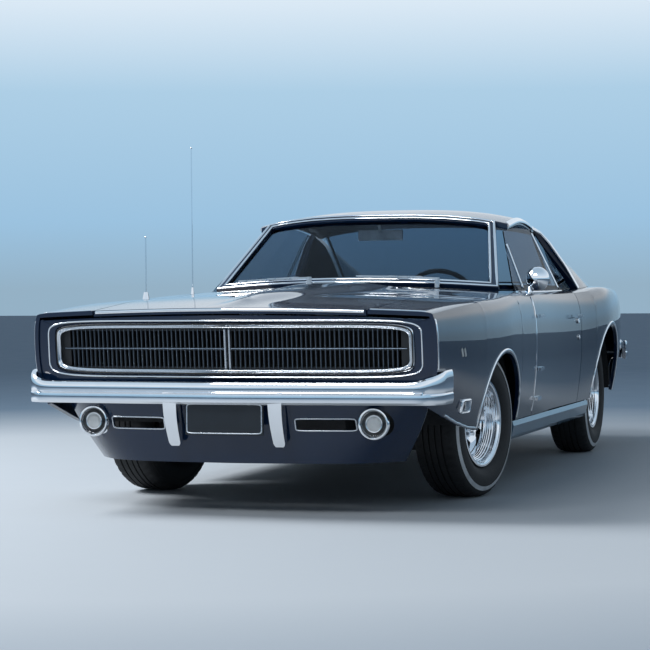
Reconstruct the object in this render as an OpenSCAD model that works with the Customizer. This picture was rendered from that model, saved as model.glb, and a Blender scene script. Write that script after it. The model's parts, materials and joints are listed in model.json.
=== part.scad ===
// Two-door fastback muscle car of about 1970, with a full-width grille and hidden headlamps.
// Millimetres. X runs forward, Y to the car's left, Z up. The origin is on the ground, at mid-length.

/* [Overall] */
// Length over both bumpers
length = 5280; // [5150:10:5450]
// Distance between the axles
wheelbase = 2760; // [2700:4:2820]
// Front bumper to front axle
front_overhang = 1230; // [1190:5:1270]
// Width over the widest point of the body
body_w = 1946; // [1900:2:2000]
// Height of the roof's crown
roof_h = 1395; // [1360:5:1430]

/* [Body lines] */
// Height of the shoulder beside the doors
belt_h = 940; // [915:5:960]
// Height of the shoulder over the rear wheels
hip_h = 965; // [945:5:985]
// Height of the fender's leading edge
nose_h = 870; // [855:5:885]
// Height of the shoulder at the tail
tail_h = 925; // [910:5:940]
// Height where the body is widest
waist_h = 690; // [670:5:710]
// Front axle to the door's leading edge
door_setback = 790; // [760:5:820]
// Length of a door
door_len = 1220; // [1180:5:1260]
// Front axle to the foot of the windscreen
screen_setback = 680; // [650:5:710]
// Width of the cowl
cowl_w = 195; // [175:5:215]
// How far the tail tapers in at each side
tail_taper = 175; // [120:5:190]
// How far the nose sweeps back from its middle to its corners
nose_v = 70; // [40:5:90]
// How far the front face leans back from top to bottom
nose_lean = 25; // [0:5:40]
// Roundness of the shoulder: 1 is an ellipse, less is squarer
shoulder_round = 0.75; // [0.6:0.05:1]

/* [Panels] */
// Thickness of fenders and quarters
panel_t = 18; // [14:1:22]
// Thickness of the hood
hood_t = 25; // [20:1:30]
// Thickness of the roof
roof_t = 32; // [26:1:38]
// Thickness of the trunk lid
lid_t = 28; // [22:1:34]
// Gap between panels
gap = 7; // [6:0.5:9]
// Hood width at the nose
hood_front_w = 1230; // [1180:10:1280]
// Hood width at the cowl
hood_rear_w = 1390; // [1360:10:1410]
// Height of the hood's raised middle
bulge_h = 22; // [10:1:30]
// Width of the hood's raised middle at the cowl
bulge_w = 500; // [400:10:600]
// Trunk lid width
trunk_w = 1270; // [1240:10:1280]

/* [Wheels] */
// Tyre diameter
tyre_d = 690; // [670:2:700]
// Tyre section width
tyre_w = 228; // [210:2:236]
// Rim bead diameter
rim_d = 381; // [356:1:400]
// Rim width between the flanges' outsides
rim_w = 196; // [180:2:200]
// Distance between the left and right wheel centre planes
track = 1516; // [1500:2:1530]
// Wheel arch radius
arch_r = 402; // [398:1:410]
// Height of the front arches above the hubs
front_arch_h = 324; // [318:1:402]
// Steering angle as the car stands, above zero to the left
steer = -11; // [-30:1:30]
// Steering axis, inboard of the wheel's centre plane
kingpin_in = 45; // [40:1:50]
// Spindle radius
spindle_r = 20; // [18:1:24]
// Running clearance of spindles and kingpins
run_clear = 0.05; // [0.03:0.01:0.08]

/* [Glass] */
// Pane thickness
glass_t = 6; // [5:0.5:8]
// Windscreen half-width at the cowl
screen_low_hw = 704; // [690:2:706]
// Windscreen half-width at the roof
screen_top_hw = 575; // [560:5:590]
// Width of the windscreen's frame
frame_w = 46; // [38:1:54]
// Depth of the windscreen's frame
frame_d = 34; // [28:1:40]
// How far the windscreen slopes back
screen_run = 560; // [530:5:590]
// Length of the roof
roof_len = 1000; // [960:10:1040]
// Half-width of the roof at the windscreen
roof_hw = 682; // [676:2:690]
// Half-width of the roof at its rear
roof_rear_hw = 632; // [620:2:640]

/* [Front end] */
// Half-width of the grille opening
grille_hw = 796; // [770:2:810]
// Top of the grille opening
grille_top = 812; // [800:2:818]
// Bottom of the grille opening
grille_bottom = 622; // [610:2:640]
// Vertical bars in each half of the grille
bars = 36; // [24:1:48]
// Width of a grille bar
bar_w = 8; // [6:0.5:10]
// Bumper height at its middle
bumper_h = 96; // [80:2:110]
// Height of the bumper's top edge
bumper_top = 580; // [570:2:590]
// Bumper depth
bumper_d = 60; // [50:2:70]
// Rise of the bumper's ends
bumper_rise = 46; // [30:2:60]
// Fog lamp radius
lamp_r = 68; // [60:1:74]
// Fog lamp distance from the middle
lamp_y = 635; // [600:5:650]

/* [Cabin] */
// Top of the floor
floor_z = 252; // [245:1:260]
// Front seat width
seat_w = 490; // [460:10:500]
// Front seat distance from the middle
seat_y = 392; // [385:1:400]
// Steering wheel radius
helm_r = 195; // [180:5:205]

/* [Hidden] */
$fn = 48;
half = body_w / 2;
axle_f = length / 2 - front_overhang;
axle_r = axle_f - wheelbase;
hub_z = tyre_d / 2;
wheel_y = track / 2;
bumper_reach = 60;
nose_x = length / 2 - bumper_reach;
tail_x = -length / 2 + bumper_reach;
door_front = axle_f - door_setback;
door_rear = door_front - door_len;
screen_low_x = axle_f - screen_setback;
cowl_front = screen_low_x + cowl_w;
lid_front = axle_r - 140;
sill_low = 232;
sill_top = sill_low + 92;
panel_low = sill_top + gap;
seat_gap = 0.3;
door_waist_in = 34;
fit = 0.5;

paint = [0.10, 0.17, 0.26];
bright = [0.82, 0.84, 0.87];
dark = [0.07, 0.08, 0.10];
glass = [0.35, 0.45, 0.52, 0.4];
rubber = [0.05, 0.05, 0.055];
trim = [0.12, 0.13, 0.16];
lamp = [0.95, 0.95, 0.9];
red = [0.55, 0.04, 0.05];

// Body sections from tail to nose. Insets are from the half-width.
// Columns: x, shoulder inset, shoulder height, waist inset, waist height,
// lower edge inset, lower edge height, crown of the top
stations = [
    [tail_x, tail_taper + 40, tail_h, tail_taper, waist_h + 50, tail_taper + 20, panel_low + 69, 14],
    [lerp(axle_r, tail_x, 0.5), 122, hip_h - 16, 54, waist_h + 48, 98, panel_low + 19, 16],
    [axle_r, 78, hip_h, 0, waist_h + 35, 58, panel_low, 18],
    [lerp(axle_r, door_rear, 0.45), 90, hip_h - 10, 12, waist_h + 18, 62, panel_low, 20],
    [door_rear, 118, belt_h + 4, 40, waist_h, 72, panel_low, 24],
    [(door_front + door_rear) / 2, 124, belt_h, 48, waist_h - 8, 78, panel_low, 30],
    [door_front, 108, belt_h, door_waist_in, waist_h - 4, 70, panel_low, 40],
    [lerp(door_front, axle_f, 0.55), 92, belt_h - 6, 20, waist_h, 62, panel_low, 40],
    [axle_f, 82, belt_h - 22, 10, waist_h + 6, 52, panel_low, 36],
    [lerp(axle_f, nose_x, 0.5), 80, nose_h + 36, 24, waist_h, 70, panel_low + 14, 28],
    [nose_x, 92, nose_h, 60, waist_h, 110, panel_low + 139, 22]];
X = 0;
SHOULDER_IN = 1;
SHOULDER_Z = 2;
WAIST_IN = 3;
WAIST_Z = 4;
LOW_IN = 5;
LOW_Z = 6;
CROWN = 7;

// Roof line along the middle. Columns: x, height
screen_top_x = screen_low_x - screen_run;
roof_rear_x = screen_top_x - roof_len;
roof_line = [[screen_top_x + 60, roof_h - 52], [screen_top_x, roof_h - 40],
    [screen_top_x - roof_len * 0.4, roof_h],
    [screen_top_x - roof_len * 0.74, roof_h - 16], [roof_rear_x, roof_h - 56],
        [roof_rear_x - 60, roof_h - 70]];
roof_drop = 62;
function roof_w(x) = lerp(roof_hw, roof_rear_hw, clamp01((screen_top_x - x) / roof_len));

// Plain helpers
function lerp(a, b, t) = a + (b - a) * t;
function clamp01(t) = max(0, min(1, t));
function ease(t) = let (u = clamp01(t)) u * u * (3 - 2 * u);
function total(v) = v * [for (i = v) 1];
function flip(f) = [for (t = f) [t[0], t[2], t[1]]];

// A smooth curve through column c of a table, at x
function span_at(t, x, i = 0) = i >= len(t) - 2 || x <= max(t[i + 1][0], t[i][0]) && rising(t)
    || x >= min(t[i + 1][0], t[i][0]) && !rising(t) ? i : span_at(t, x, i + 1);
function rising(t) = t[1][0] > t[0][0];
function slope(t, i, c) = let (a = max(0, i - 1), b = min(len(t) - 1, i + 1))
    (t[b][c] - t[a][c]) / (t[b][0] - t[a][0]);
function along(t, x, c) = let (i = span_at(t, x), h = t[i + 1][0] - t[i][0], u = (x - t[i][0]) / h)
    (2 * u ^ 3 - 3 * u ^ 2 + 1) * t[i][c] + (u ^ 3 - 2 * u ^ 2 + u) * h * slope(t, i, c)
    + (3 * u ^ 2 - 2 * u ^ 3) * t[i + 1][c] + (u ^ 3 - u ^ 2) * h * slope(t, i + 1, c);

// The body's skin
function at(x, c) = along(stations, x, c);
function shoulder_y(x) = half - at(x, SHOULDER_IN);
function top_z(x, y) = at(x, SHOULDER_Z) + at(x, CROWN) * (1 - (y / shoulder_y(x)) ^ 2);
// One point of a section: v runs 0 to 1 from the lower edge to the waist, 1 to 2 up to the shoulder
function side_point(x, v) = let (zw = at(x, WAIST_Z), yw = half - at(x, WAIST_IN), zl = at(x, LOW_Z),
        yl = half - at(x, LOW_IN), zs = at(x, SHOULDER_Z), ys = shoulder_y(x), a = 90 * (v - 1))
    v < 1 ? [yw - (yw - yl) * (1 - v) ^ 2, lerp(zl, zw, v)]
    : [ys + (yw - ys) * cos(a) ^ shoulder_round, zw + (zs - zw) * sin(a) ^ shoulder_round];
function v_at(x, z) = let (zw = at(x, WAIST_Z), zl = at(x, LOW_Z), zs = at(x, SHOULDER_Z))
    z <= zw ? (z - zl) / (zw - zl) : 1 + asin(min(1, ((z - zw) / (zs - zw)) ^ (1 / shoulder_round))) / 90;
function side_y(x, z) = side_point(x, v_at(x, z))[0];
// A section from height z on the side, up over the shoulder and in to y
function section(x, z, y, up, over) = let (v0 = v_at(x, z), ys = shoulder_y(x)) concat(
    [for (j = [0 : up]) side_point(x, lerp(v0, 2, j / up))],
    [for (j = [1 : over]) let (w = lerp(ys, y, j / over)) [w, top_z(x, w)]]);
function inset(s, t) = [for (j = [0 : len(s) - 1])
    let (d = s[min(len(s) - 1, j + 1)] - s[max(0, j - 1)]) s[j] + t * [-d[1], d[0]] / norm(d)];

// The nose sweeps back from its middle and leans back towards the bumper
bend_start = axle_f + 200;
function vee(y) = nose_v * abs(y) / half;
function lean(z) = nose_lean * (nose_h - z) / (nose_h - grille_bottom);
function bend(p) = let (k = clamp01((p[0] - bend_start) / (nose_x - bend_start)))
    [p[0] - k * (vee(p[1]) + lean(p[2])), p[1], p[2]];
function face_x(y, z) = nose_x - vee(y) - lean(z);

// A closed solid from points and triangles, whichever way the triangles wind
module solid(points, tris) {
    volume = total([for (t = tris) cross(points[t[0]], points[t[1]]) * points[t[2]]]);
    polyhedron(points, volume > 0 ? flip(tris) : tris);
}

function quads(rows, cols, wrap_r, wrap_c, base = 0) = [
    for (i = [0 : rows - (wrap_r ? 1 : 2)], j = [0 : cols - (wrap_c ? 1 : 2)])
        let (i2 = (i + 1) % rows, j2 = (j + 1) % cols, a = base + i * cols + j, b = base + i * cols + j2,
            c = base + i2 * cols + j2, d = base + i2 * cols + j) each [[a, b, c], [a, c, d]]];
function flat(grid) = [for (row = grid) each row];

// A curved plate between two grids of points
module plate(outer, inner) {
    rows = len(outer);
    cols = len(outer[0]);
    n = rows * cols;
    rim = concat([for (j = [0 : cols - 1]) j], [for (i = [1 : rows - 1]) i * cols + cols - 1],
        [for (j = [cols - 2 : -1 : 0]) (rows - 1) * cols + j], [for (i = [rows - 2 : -1 : 1]) i * cols]);
    m = len(rim);
    solid(concat(flat(outer), flat(inner)), concat(quads(rows, cols, false, false),
        flip(quads(rows, cols, false, false, n)),
        [for (k = [0 : m - 1]) let (a = rim[k], b = rim[(k + 1) % m]) each [[b, a, a + n],
            [b, a + n, b + n]]]));
}

// A closed section swept along a path, with flat ends
module sweep(sections) {
    rows = len(sections);
    cols = len(sections[0]);
    last = (rows - 1) * cols;
    solid(flat(sections), concat(quads(rows, cols, false, true),
        [for (j = [1 : cols - 2]) [0, j + 1, j]],
            [for (j = [1 : cols - 2]) [last, last + j, last + j + 1]]));
}

// A closed section swept round a closed loop
module loop(sections) {
    solid(flat(sections), quads(len(sections), len(sections[0]), true, true));
}

module both_sides() {
    children();
    mirror([0, 1, 0]) children();
}

// Columns of a side panel: even steps to an arch, round it, and on where there is room
function arch_columns(start, axle, end, lead) = let (way = sign(start - axle), room = abs(end - axle))
    concat(
    [for (i = [0 : lead]) lerp(start, axle + way * (arch_r + 1), i / lead)],
    [for (a = [0 : 15 : 180]) if (-cos(a) * arch_r < room) axle + way * arch_r * cos(a)],
    room > arch_r + 10 ? [for (i = [0 : 4]) lerp(axle - way * (arch_r + 1), end, i / 4)] : [end]);
// Lower edge of a side panel, which follows an arch of height h over the wheel
function arch_z(x, axle, h) = let (d = abs(x - axle))
    d <= arch_r ? max(at(x, LOW_Z), hub_z + h * sqrt(max(0, 1 - (d / arch_r) ^ 2))) : at(x, LOW_Z);

// Half-width of the hood, and its edges
function hood_hw(x) = lerp(hood_rear_w, hood_front_w,
    clamp01((x - cowl_front) / (nose_x - cowl_front))) / 2;
cowl_bow = 46;
function cowl_x(y) = cowl_front + cowl_bow * max(0, 1 - (2 * y / hood_rear_w) ^ 2);

side_rows = 9;
top_rows = 3;

// The fender reaches in to the cowl, and ahead of that to the hood
function fender_in(x) = x <= cowl_front ? cowl_hw + 4 : hood_hw(x) + gap;
module fender() {
    start = door_front + gap;
    xs = concat([start, lerp(start, cowl_front, 0.5), cowl_front],
        arch_columns(cowl_front + gap, axle_f, nose_x, 1));
    function put(i, p) = bend([i == 0 ? door_nose(p[0]) + gap : xs[i], p[0], p[1]]);
    secs = [for (x = xs) section(x, arch_z(x, axle_f, front_arch_h), fender_in(x), side_rows, top_rows)];
    color(paint) plate(
        [for (i = [0 : len(xs) - 1]) [for (p = secs[i]) put(i, p)]],
        [for (i = [0 : len(xs) - 1]) [for (p = inset(secs[i], panel_t)) put(i, p)]]);
}

module fender_left() fender();
module fender_right() mirror([0, 1, 0]) fender();

bulge_soft = 60;
function bulge(x, y) = let (w = bulge_w / 2 * clamp01((nose_x - x) / (nose_x - cowl_front)))
    bulge_h * ease((w - abs(y)) / bulge_soft + 0.5) * ease((nose_x - x) / 300);

// Hood and trunk lid turn on goosenecks. Their pins lie under the panel next to them, and the
// facing edge is an arc about the pins.
pin_d = 16;
neck_w = 16;
neck_play = 1;
lug_w = 15;
lug_r2 = 18;
neck_run = 190;
neck_dip = [95, -100];
axis_back = 55;
axis_drop = 45;
module neck(rise) {
    rotate([90, 0, 0]) translate([0, 0, -neck_w / 2]) linear_extrude(neck_w) union() {
        circle(r = neck_w);
        polygon([[-8, -12], [neck_dip[0] - 6, neck_dip[1] - 10], [neck_dip[0] + 16, neck_dip[1] - 8],
            [neck_run + 16, rise - 6], [neck_run + 16, rise + 10], [neck_run - 26, rise + 10],
            [neck_dip[0] - 2, neck_dip[1] + 22], [10, 10]]);
    }
    rotate([90, 0, 0]) cylinder(d = pin_d, h = neck_w + 2 * (neck_play + lug_w), center = true);
}
module lugs(top) for (e = [-1, 1]) translate([0, e * (neck_w / 2 + neck_play + lug_w / 2), 0])
    rotate([90, 0, 0])
    difference() {
        translate([0, 0, -lug_w / 2]) linear_extrude(lug_w) union() {
            circle(r = lug_r2);
            translate([-lug_r2, 0]) square([2 * lug_r2, top + 8]);
        }
        cylinder(d = pin_d + 2 * run_clear, h = 2 * lug_w, center = true);
    }

hood_axis = [cowl_front - axis_back, belt_h - axis_drop];
hood_arm_y = hood_rear_w / 2 - 40;
hood_cols = 14;
hood_half_rows = [0, 0.12, 0.24, 0.36, 0.5, 0.75, 1];
function hood_end(y, drop) = let (c = [cowl_x(y), top_z(cowl_x(y), y)] - hood_axis, r = norm(c) + 1.2 * gap)
    hood_axis[0] + sqrt(r ^ 2 - (c[1] - drop) ^ 2);
module hood() {
    ys = concat([for (i = [6 : -1 : 1]) -hood_half_rows[i]], hood_half_rows);
    function point(s, t, drop) = let (x = lerp(hood_end(t * hood_rear_w / 2, drop), nose_x, s),
        y = t * hood_hw(x))
        bend([x, y, top_z(x, y) + bulge(x, y) - drop]);
    neck_x = hood_axis[0] + neck_run;
    color(paint) union() {
        plate([for (i = [0 : hood_cols]) [for (t = ys) point(i / hood_cols, t, 0)]],
            [for (i = [0 : hood_cols]) [for (t = ys) point(i / hood_cols, t, hood_t)]]);
        both_sides() translate([hood_axis[0], hood_arm_y, hood_axis[1]])
            neck(top_z(neck_x, hood_arm_y) - hood_t - hood_axis[1]);
    }
}

// Windscreen and rear window share one kind of ruled pane.
// Columns: middle x, bow, half-width, height drop at the sides, for the lower and upper edge
function roof_z(x, y) = along(roof_line, x, 1) - roof_drop * (abs(y) / roof_w(x)) ^ 3;
screen_low_bow = 95;
screen_top_bow = 34;
function screen_low(u) = let (x = screen_low_x - screen_low_bow * u ^ 2, y = u * (screen_low_hw + frame_w))
    [x, y, top_z(x, y) + 4];
function screen_top(u) = let (x = screen_top_x + gap - screen_top_bow * u ^ 2,
    y = u * (screen_top_hw + frame_w)) [x, y, roof_z(x, y) - roof_t / 2];
function screen(u, w) = lerp(screen_low(u), screen_top(u), w);
screen_dir = let (d = screen_top(0) - screen_low(0)) [-d[2], 0, d[0]] / norm(d) * -1;
screen_len = norm(screen_top(0) - screen_low(0));

rear_low_x = axle_r + 20;
rear_low_hw = trunk_w / 2 - 5;
rear_top_hw = roof_rear_hw - 17;
rear_gap = 12;
function rear_low(u) = let (y = u * rear_low_hw) [rear_low_x + 60 * u ^ 2, y, top_z(rear_low_x, y) + fit];
function rear_top(u) = let (x = roof_rear_x - rear_gap + 20 * u ^ 2, y = u * rear_top_hw)
    [x, y, roof_z(x, y) - roof_t / 2];
function rear(u, w) = lerp(rear_low(u), rear_top(u), w);
rear_dir = let (d = rear_top(0) - rear_low(0)) [-d[2], 0, d[0]] / norm(d);

pane_cols = 10;
pane_rows = 4;
u_edge = frame_w / (screen_low_hw + frame_w);
w_edge = frame_w / screen_len;
module windscreen() {
    u1 = 1 - u_edge - fit / screen_low_hw;
    w0 = w_edge + fit / screen_len;
    function p(i, j, d) = screen(lerp(-u1, u1, i / pane_cols),
        lerp(w0, 1 - w0, j / pane_rows)) + d * screen_dir;
    color(glass) plate([for (j = [0 : pane_rows]) [for (i = [0 : pane_cols]) p(i, j, glass_t / 2)]],
        [for (j = [0 : pane_rows]) [for (i = [0 : pane_cols]) p(i, j, -glass_t / 2)]]);
}

module windscreen_frame() {
    steps = concat([for (i = [0 : pane_cols - 1]) [lerp(-1, 1, i / pane_cols), 0]],
        [for (j = [0 : pane_rows - 1]) [1, j / pane_rows]],
        [for (i = [0 : pane_cols - 1]) [lerp(1, -1, i / pane_cols), 1]],
        [for (j = [0 : pane_rows - 1]) [-1, 1 - j / pane_rows]]);
    function outer(s, d) = screen(s[0], s[1]) + d * screen_dir;
    function inner(s, d) = screen(s[0] * (1 - u_edge), lerp(w_edge, 1 - w_edge, s[1])) + d * screen_dir;
    color(paint) loop([for (s = steps) [outer(s, frame_d / 2), inner(s, frame_d / 2),
        inner(s, -frame_d / 2), outer(s, -frame_d / 2)]]);
}

module rear_window() {
    function p(i, j, d) = rear(lerp(-1, 1, i / pane_cols), j / pane_rows) + d * rear_dir;
    color(glass) plate([for (j = [0 : pane_rows]) [for (i = [0 : pane_cols]) p(i, j, glass_t)]],
        [for (j = [0 : pane_rows]) [for (i = [0 : pane_cols]) p(i, j, 0)]]);
}

roof_cols = 10;
roof_half_rows = [0, 0.3, 0.55, 0.75, 0.9, 1];
module roof() {
    ys = concat([for (i = [5 : -1 : 1]) -roof_half_rows[i]], roof_half_rows);
    function point(s, t, drop) = let (
        x = lerp(screen_top_x - screen_top_bow * t ^ 2 - frame_d / 2, roof_rear_x + 30 * t ^ 2, s),
            y = t * roof_w(x))
        [x, y, roof_z(x, y) - drop];
    color(paint) plate([for (i = [0 : roof_cols]) [for (t = ys) point(i / roof_cols, t, 0)]],
        [for (i = [0 : roof_cols]) [for (t = ys) point(i / roof_cols, t, roof_t)]]);
}

// Cowl between hood and windscreen
cowl_t = 20;
cowl_cols = 3;
cowl_hw = screen_low_hw + frame_w + 2;
module cowl() {
    ys = [for (i = [-8 : 8]) i / 8 * cowl_hw];
    function point(s, y, drop) = let (x = lerp(cowl_x(y),
        screen_low(y / (screen_low_hw + frame_w))[0] - 1.5, s))
        [x, y, top_z(x, y) - drop];
    color(paint) union() {
        plate([for (i = [0 : cowl_cols]) [for (y = ys) point(i / cowl_cols, y, 0)]],
            [for (i = [0 : cowl_cols]) [for (y = ys) point(i / cowl_cols, y, cowl_t)]]);
        both_sides() translate([hood_axis[0], hood_arm_y, hood_axis[1]])
            lugs(top_z(hood_axis[0], hood_arm_y) - cowl_t - hood_axis[1]);
    }
}

// Doors are as thick as the whole door. Seen from above, the front end slants clear of the
// fender as the door turns, and the rear end is an arc about the hinge.
door_in = half - 213;
hinge_ahead = 116;
hinge_in = 93;
hinge_x = door_front + hinge_ahead;
hinge_y = half - hinge_in;
// Heights of the hinges as shares of the door's height
hinge_shares = [0.25, 0.7];
hinge_zs = [for (k = hinge_shares) lerp(panel_low, belt_h, k)];
hinge_pin_r = 9;
strap_t = 20;
strap_w = 20;
leaf_play = 1;
hinge_leaf_t = 14;
door_cols = 8;
door_slant = 0.37;
door_r = norm([hinge_ahead, hinge_in - door_waist_in]);
function door_nose(y) = door_front - door_slant * (half - door_waist_in - y);
function door_end(y) = hinge_x - sqrt((hinge_x - door_rear) ^ 2 - (hinge_y - y) ^ 2);
door_lip = 22;
door_swell = 14;
// A hinge strap in plan: it leaves the pin inwards, clear of the fender when the door is open
module strap() {
    out = hinge_y - door_in - 2;
    module leg(p, q) hull() {
        translate(p) circle(d = strap_w);
        translate(q) circle(d = strap_w);
    }
    translate([0, 0, -strap_t / 2]) linear_extrude(strap_t) union() {
        circle(r = strap_w * 0.75);
        leg([0, 0], [-0.38 * door_r, -out]);
        leg([-0.38 * door_r, -out], [door_nose(hinge_y - out) - hinge_x - 18, -out]);
    }
    cylinder(r = hinge_pin_r, h = strap_t + 2 * (leaf_play + hinge_leaf_t), center = true);
}
module door() {
    rows = side_rows + top_rows;
    xs = [for (i = [0 : door_cols]) lerp(door_front, door_rear, i / door_cols)];
    secs = [for (x = xs) section(x, panel_low, door_in, side_rows, top_rows)];
    function put(i, p) = [lerp(door_nose(p[0]), door_end(p[0]), i / door_cols), p[0], p[1]];
    function inner(i, j) = [door_in - door_swell * sin(180 * j / rows),
        lerp(panel_low, top_z(xs[i], door_in) - door_lip, j / rows)];
    color(paint) union() {
        plate([for (i = [0 : door_cols]) [for (p = secs[i]) put(i, p)]],
            [for (i = [0 : door_cols]) [for (j = [0 : rows]) put(i, inner(i, j))]]);
        for (z = hinge_zs) translate([hinge_x, hinge_y, z]) strap();
    }
}

// Posts ahead of the doors stand on the rockers and carry the hinges
post_t = 18;
post_ahead = 34;
post_w = 80;
post_top = belt_h - 60;
module hinge_post() {
    translate([hinge_x + post_ahead, hinge_y - post_w, sill_top + seat_gap])
        cube([post_t, post_w, post_top - sill_top - seat_gap]);
    for (z = hinge_zs, e = [-1, 1]) translate([hinge_x, hinge_y,
        z + e * (strap_t + hinge_leaf_t + 2 * leaf_play) / 2])
        linear_extrude(hinge_leaf_t, center = true) difference() {
            translate([-20, -22]) square([post_ahead + 22, 42]);
            circle(r = hinge_pin_r + run_clear);
        }
}

module hinge_posts() color(dark) both_sides() hinge_post();

module door_left() door();
module door_right() mirror([0, 1, 0]) door();

// Side glass leans in from the belt to the roof's rail
glass_y = half - 167;
glass_low_z = belt_h + 10;
glass_lean = 26;
function glass_s(z) = (z - glass_low_z) / cos(glass_lean);
function rail_z(x) = roof_z(x, roof_w(x)) - roof_t - gap;
function sill_z(x) = top_z(x, glass_y) - seat_gap + glass_t * sin(glass_lean);
glass_front_low = door_front - 60;
glass_front_top = screen_top_x - 52;
quarter_low = door_rear - 320;
quarter_top = door_rear - 100;

module side_pane(front_low, front_top, rear_low, rear_top) {
    n = 6;
    outline = concat([for (i = [0 : n]) let (x = lerp(front_low, rear_low, i / n)) [x, glass_s(sill_z(x))]],
        [for (i = [0 : n]) let (x = lerp(rear_top, front_top, i / n)) [x, glass_s(rail_z(x))]]);
    color(glass) translate([0, glass_y, glass_low_z]) rotate([90 + glass_lean, 0, 0])
        translate([0, 0, -glass_t / 2]) linear_extrude(glass_t) polygon(outline);
}

module door_glass() side_pane(glass_front_low, glass_front_top, door_rear + gap / 2 + 10,
    door_rear + gap / 2 + 14);
module door_glass_left() door_glass();
module door_glass_right() mirror([0, 1, 0]) door_glass();
module quarter_windows() both_sides()
    side_pane(door_rear - gap, door_rear - gap, quarter_low + gap, quarter_top + gap);

// Quarters run from the door to the tail
function ledge_y(x) = lerp(door_in + 10, trunk_w / 2 + gap,
    ease((door_rear - x) / (door_rear - lid_front)));
module quarter() {
    xs = arch_columns(door_rear - gap, axle_r, tail_x, 3);
    secs = [for (x = xs) section(x, arch_z(x, axle_r, arch_r), ledge_y(x), side_rows, top_rows)];
    color(paint) plate([for (i = [0 : len(xs) - 1]) [for (p = secs[i]) [xs[i], p[0], p[1]]]],
        [for (i = [0 : len(xs) - 1]) [for (p = inset(secs[i], panel_t)) [xs[i], p[0], p[1]]]]);
}

module quarter_left() quarter();
module quarter_right() mirror([0, 1, 0]) quarter();

// Rear pillars run on past the rear window as buttresses
pillar_steps = 10;
pillar_end = lerp(axle_r, tail_x, 0.6);
pillar_wall = 46;
pillar_lift = 0.8;
module c_pillar() {
    roof_side = roof_z(quarter_top, roof_w(quarter_top));
    tip_y = trunk_w / 2 + gap + 10;
    tip_z = top_z(pillar_end, tip_y) + 12;
    function sec(s) = let (xb = lerp(quarter_low, pillar_end, s), xr = lerp(quarter_top, pillar_end, s),
        yo = lerp(shoulder_y(xb) - 26, tip_y + 50, s ^ 1.6),
        yi = max(tip_y - 6, yo - pillar_wall - 500 * s),
        yr = max(roof_w(xr) + fit, lerp(roof_w(quarter_top) + fit, tip_y, s)),
        zr = max(lerp(roof_side, tip_z, s ^ 0.96), top_z(xb, yo) + 10), zi = top_z(xb, yi) + pillar_lift,
        out = [xb, yo, top_z(xb, yo) + pillar_lift], ro = [xr, yr + 12, zr - 1],
        ri = [xr, yr, max(zr - roof_t, lerp(zi, zr, 0.5))], swell = [0, 14 * (1 - s), 6 * (1 - s)])
        [out, lerp(out, ro, 0.35) + swell, lerp(out, ro, 0.75) + swell, ro, ri, [xb, yi, zi]];
    color(paint) sweep([for (i = [0 : pillar_steps]) sec(i / pillar_steps)]);
}

module c_pillars() both_sides() c_pillar();

// Deck panel under the rear window, then the trunk lid
deck_rows = [for (i = [-5 : 5]) i / 5];
deck_end = lid_front + 1.5 * gap;
lid_axis = [lid_front + 90, hip_h - 60];
lid_arm_y = trunk_w / 2 - 65;
module rear_deck() {
    function point(s, t, drop) = let (x = lerp(rear_low(t)[0] + 24, deck_end, s),
        y = t * (trunk_w / 2 + gap - fit))
        [x, y, top_z(x, y) - drop];
    color(paint) union() {
        plate([for (i = [0 : 2]) [for (t = deck_rows) point(i / 2, t, 0)]],
            [for (i = [0 : 2]) [for (t = deck_rows) point(i / 2, t, lid_t)]]);
        both_sides() translate([lid_axis[0], lid_arm_y, lid_axis[1]])
            lugs(top_z(lid_axis[0], lid_arm_y) - lid_t - lid_axis[1]);
    }
}

function lid_end(y, drop) = let (c = [deck_end, top_z(deck_end, y)] - lid_axis, r = norm(c) + 1.2 * gap)
    lid_axis[0] - sqrt(r ^ 2 - (c[1] - drop) ^ 2);
module trunk_lid() {
    function point(s, t, drop) = let (y = t * trunk_w / 2, x = lerp(lid_end(y, drop), tail_x, s))
        [x, y, top_z(x, y) - drop];
    neck_x = lid_axis[0] - neck_run;
    color(paint) union() {
        plate([for (i = [0 : 8]) [for (t = deck_rows) point(i / 8, t, 0)]],
            [for (i = [0 : 8]) [for (t = deck_rows) point(i / 8, t, lid_t)]]);
        both_sides() translate([lid_axis[0], lid_arm_y, lid_axis[1]]) mirror([1, 0, 0])
            neck(top_z(neck_x, lid_arm_y) - lid_t - lid_axis[1]);
    }
}

// Tail panel with a lip above the bumper and a tuck below it
tail_set = 14;
tail_low = 340;
tail_t = 18;
tail_tuck_z = 520;
module tail_panel() {
    top = top_z(tail_x, 0) - lid_t - gap;
    zs = concat([tail_low, (tail_low + tail_tuck_z) / 2],
        [for (i = [0 : 4]) lerp(tail_tuck_z, top - 30, i / 4)], [top]);
    function hw(z) = side_y(tail_x + tail_set, max(z, at(tail_x, LOW_Z))) - panel_t - fit;
    function point(z, t, d) = let (w = z > top - 31 ? min(hw(z), shoulder_y(tail_x) - panel_t - 20) : hw(z))
        [tail_x + tail_set + d + 0.45 * max(0, tail_tuck_z - z), t * w, z - (z == top ? 14 * t ^ 2 : 0)];
    color(paint) plate([for (z = zs) [for (t = deck_rows) point(z, t, 0)]],
        [for (z = zs) [for (t = deck_rows) point(z, t, tail_t)]]);
}

// A rounded rectangle as a superellipse
squareness = 0.25;
function round_box(w, h, n = 48) = [for (i = [0 : n - 1]) let (a = 360 * i / n, c = cos(a), s = sin(a))
    [w * sign(c) * abs(c) ^ squareness, h * sign(s) * abs(s) ^ squareness]];

tail_lamp_w = 290;
tail_lamp_h = 62;
tail_lamp_y = 410;
tail_lamp_z = 768;
tail_lamp_t = 16;
module tail_lamps() {
    color(red) both_sides() translate([tail_x + tail_set - seat_gap, tail_lamp_y, tail_lamp_z])
        rotate([90, 0, -90]) linear_extrude(tail_lamp_t) polygon(round_box(tail_lamp_w, tail_lamp_h, 40));
}

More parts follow.
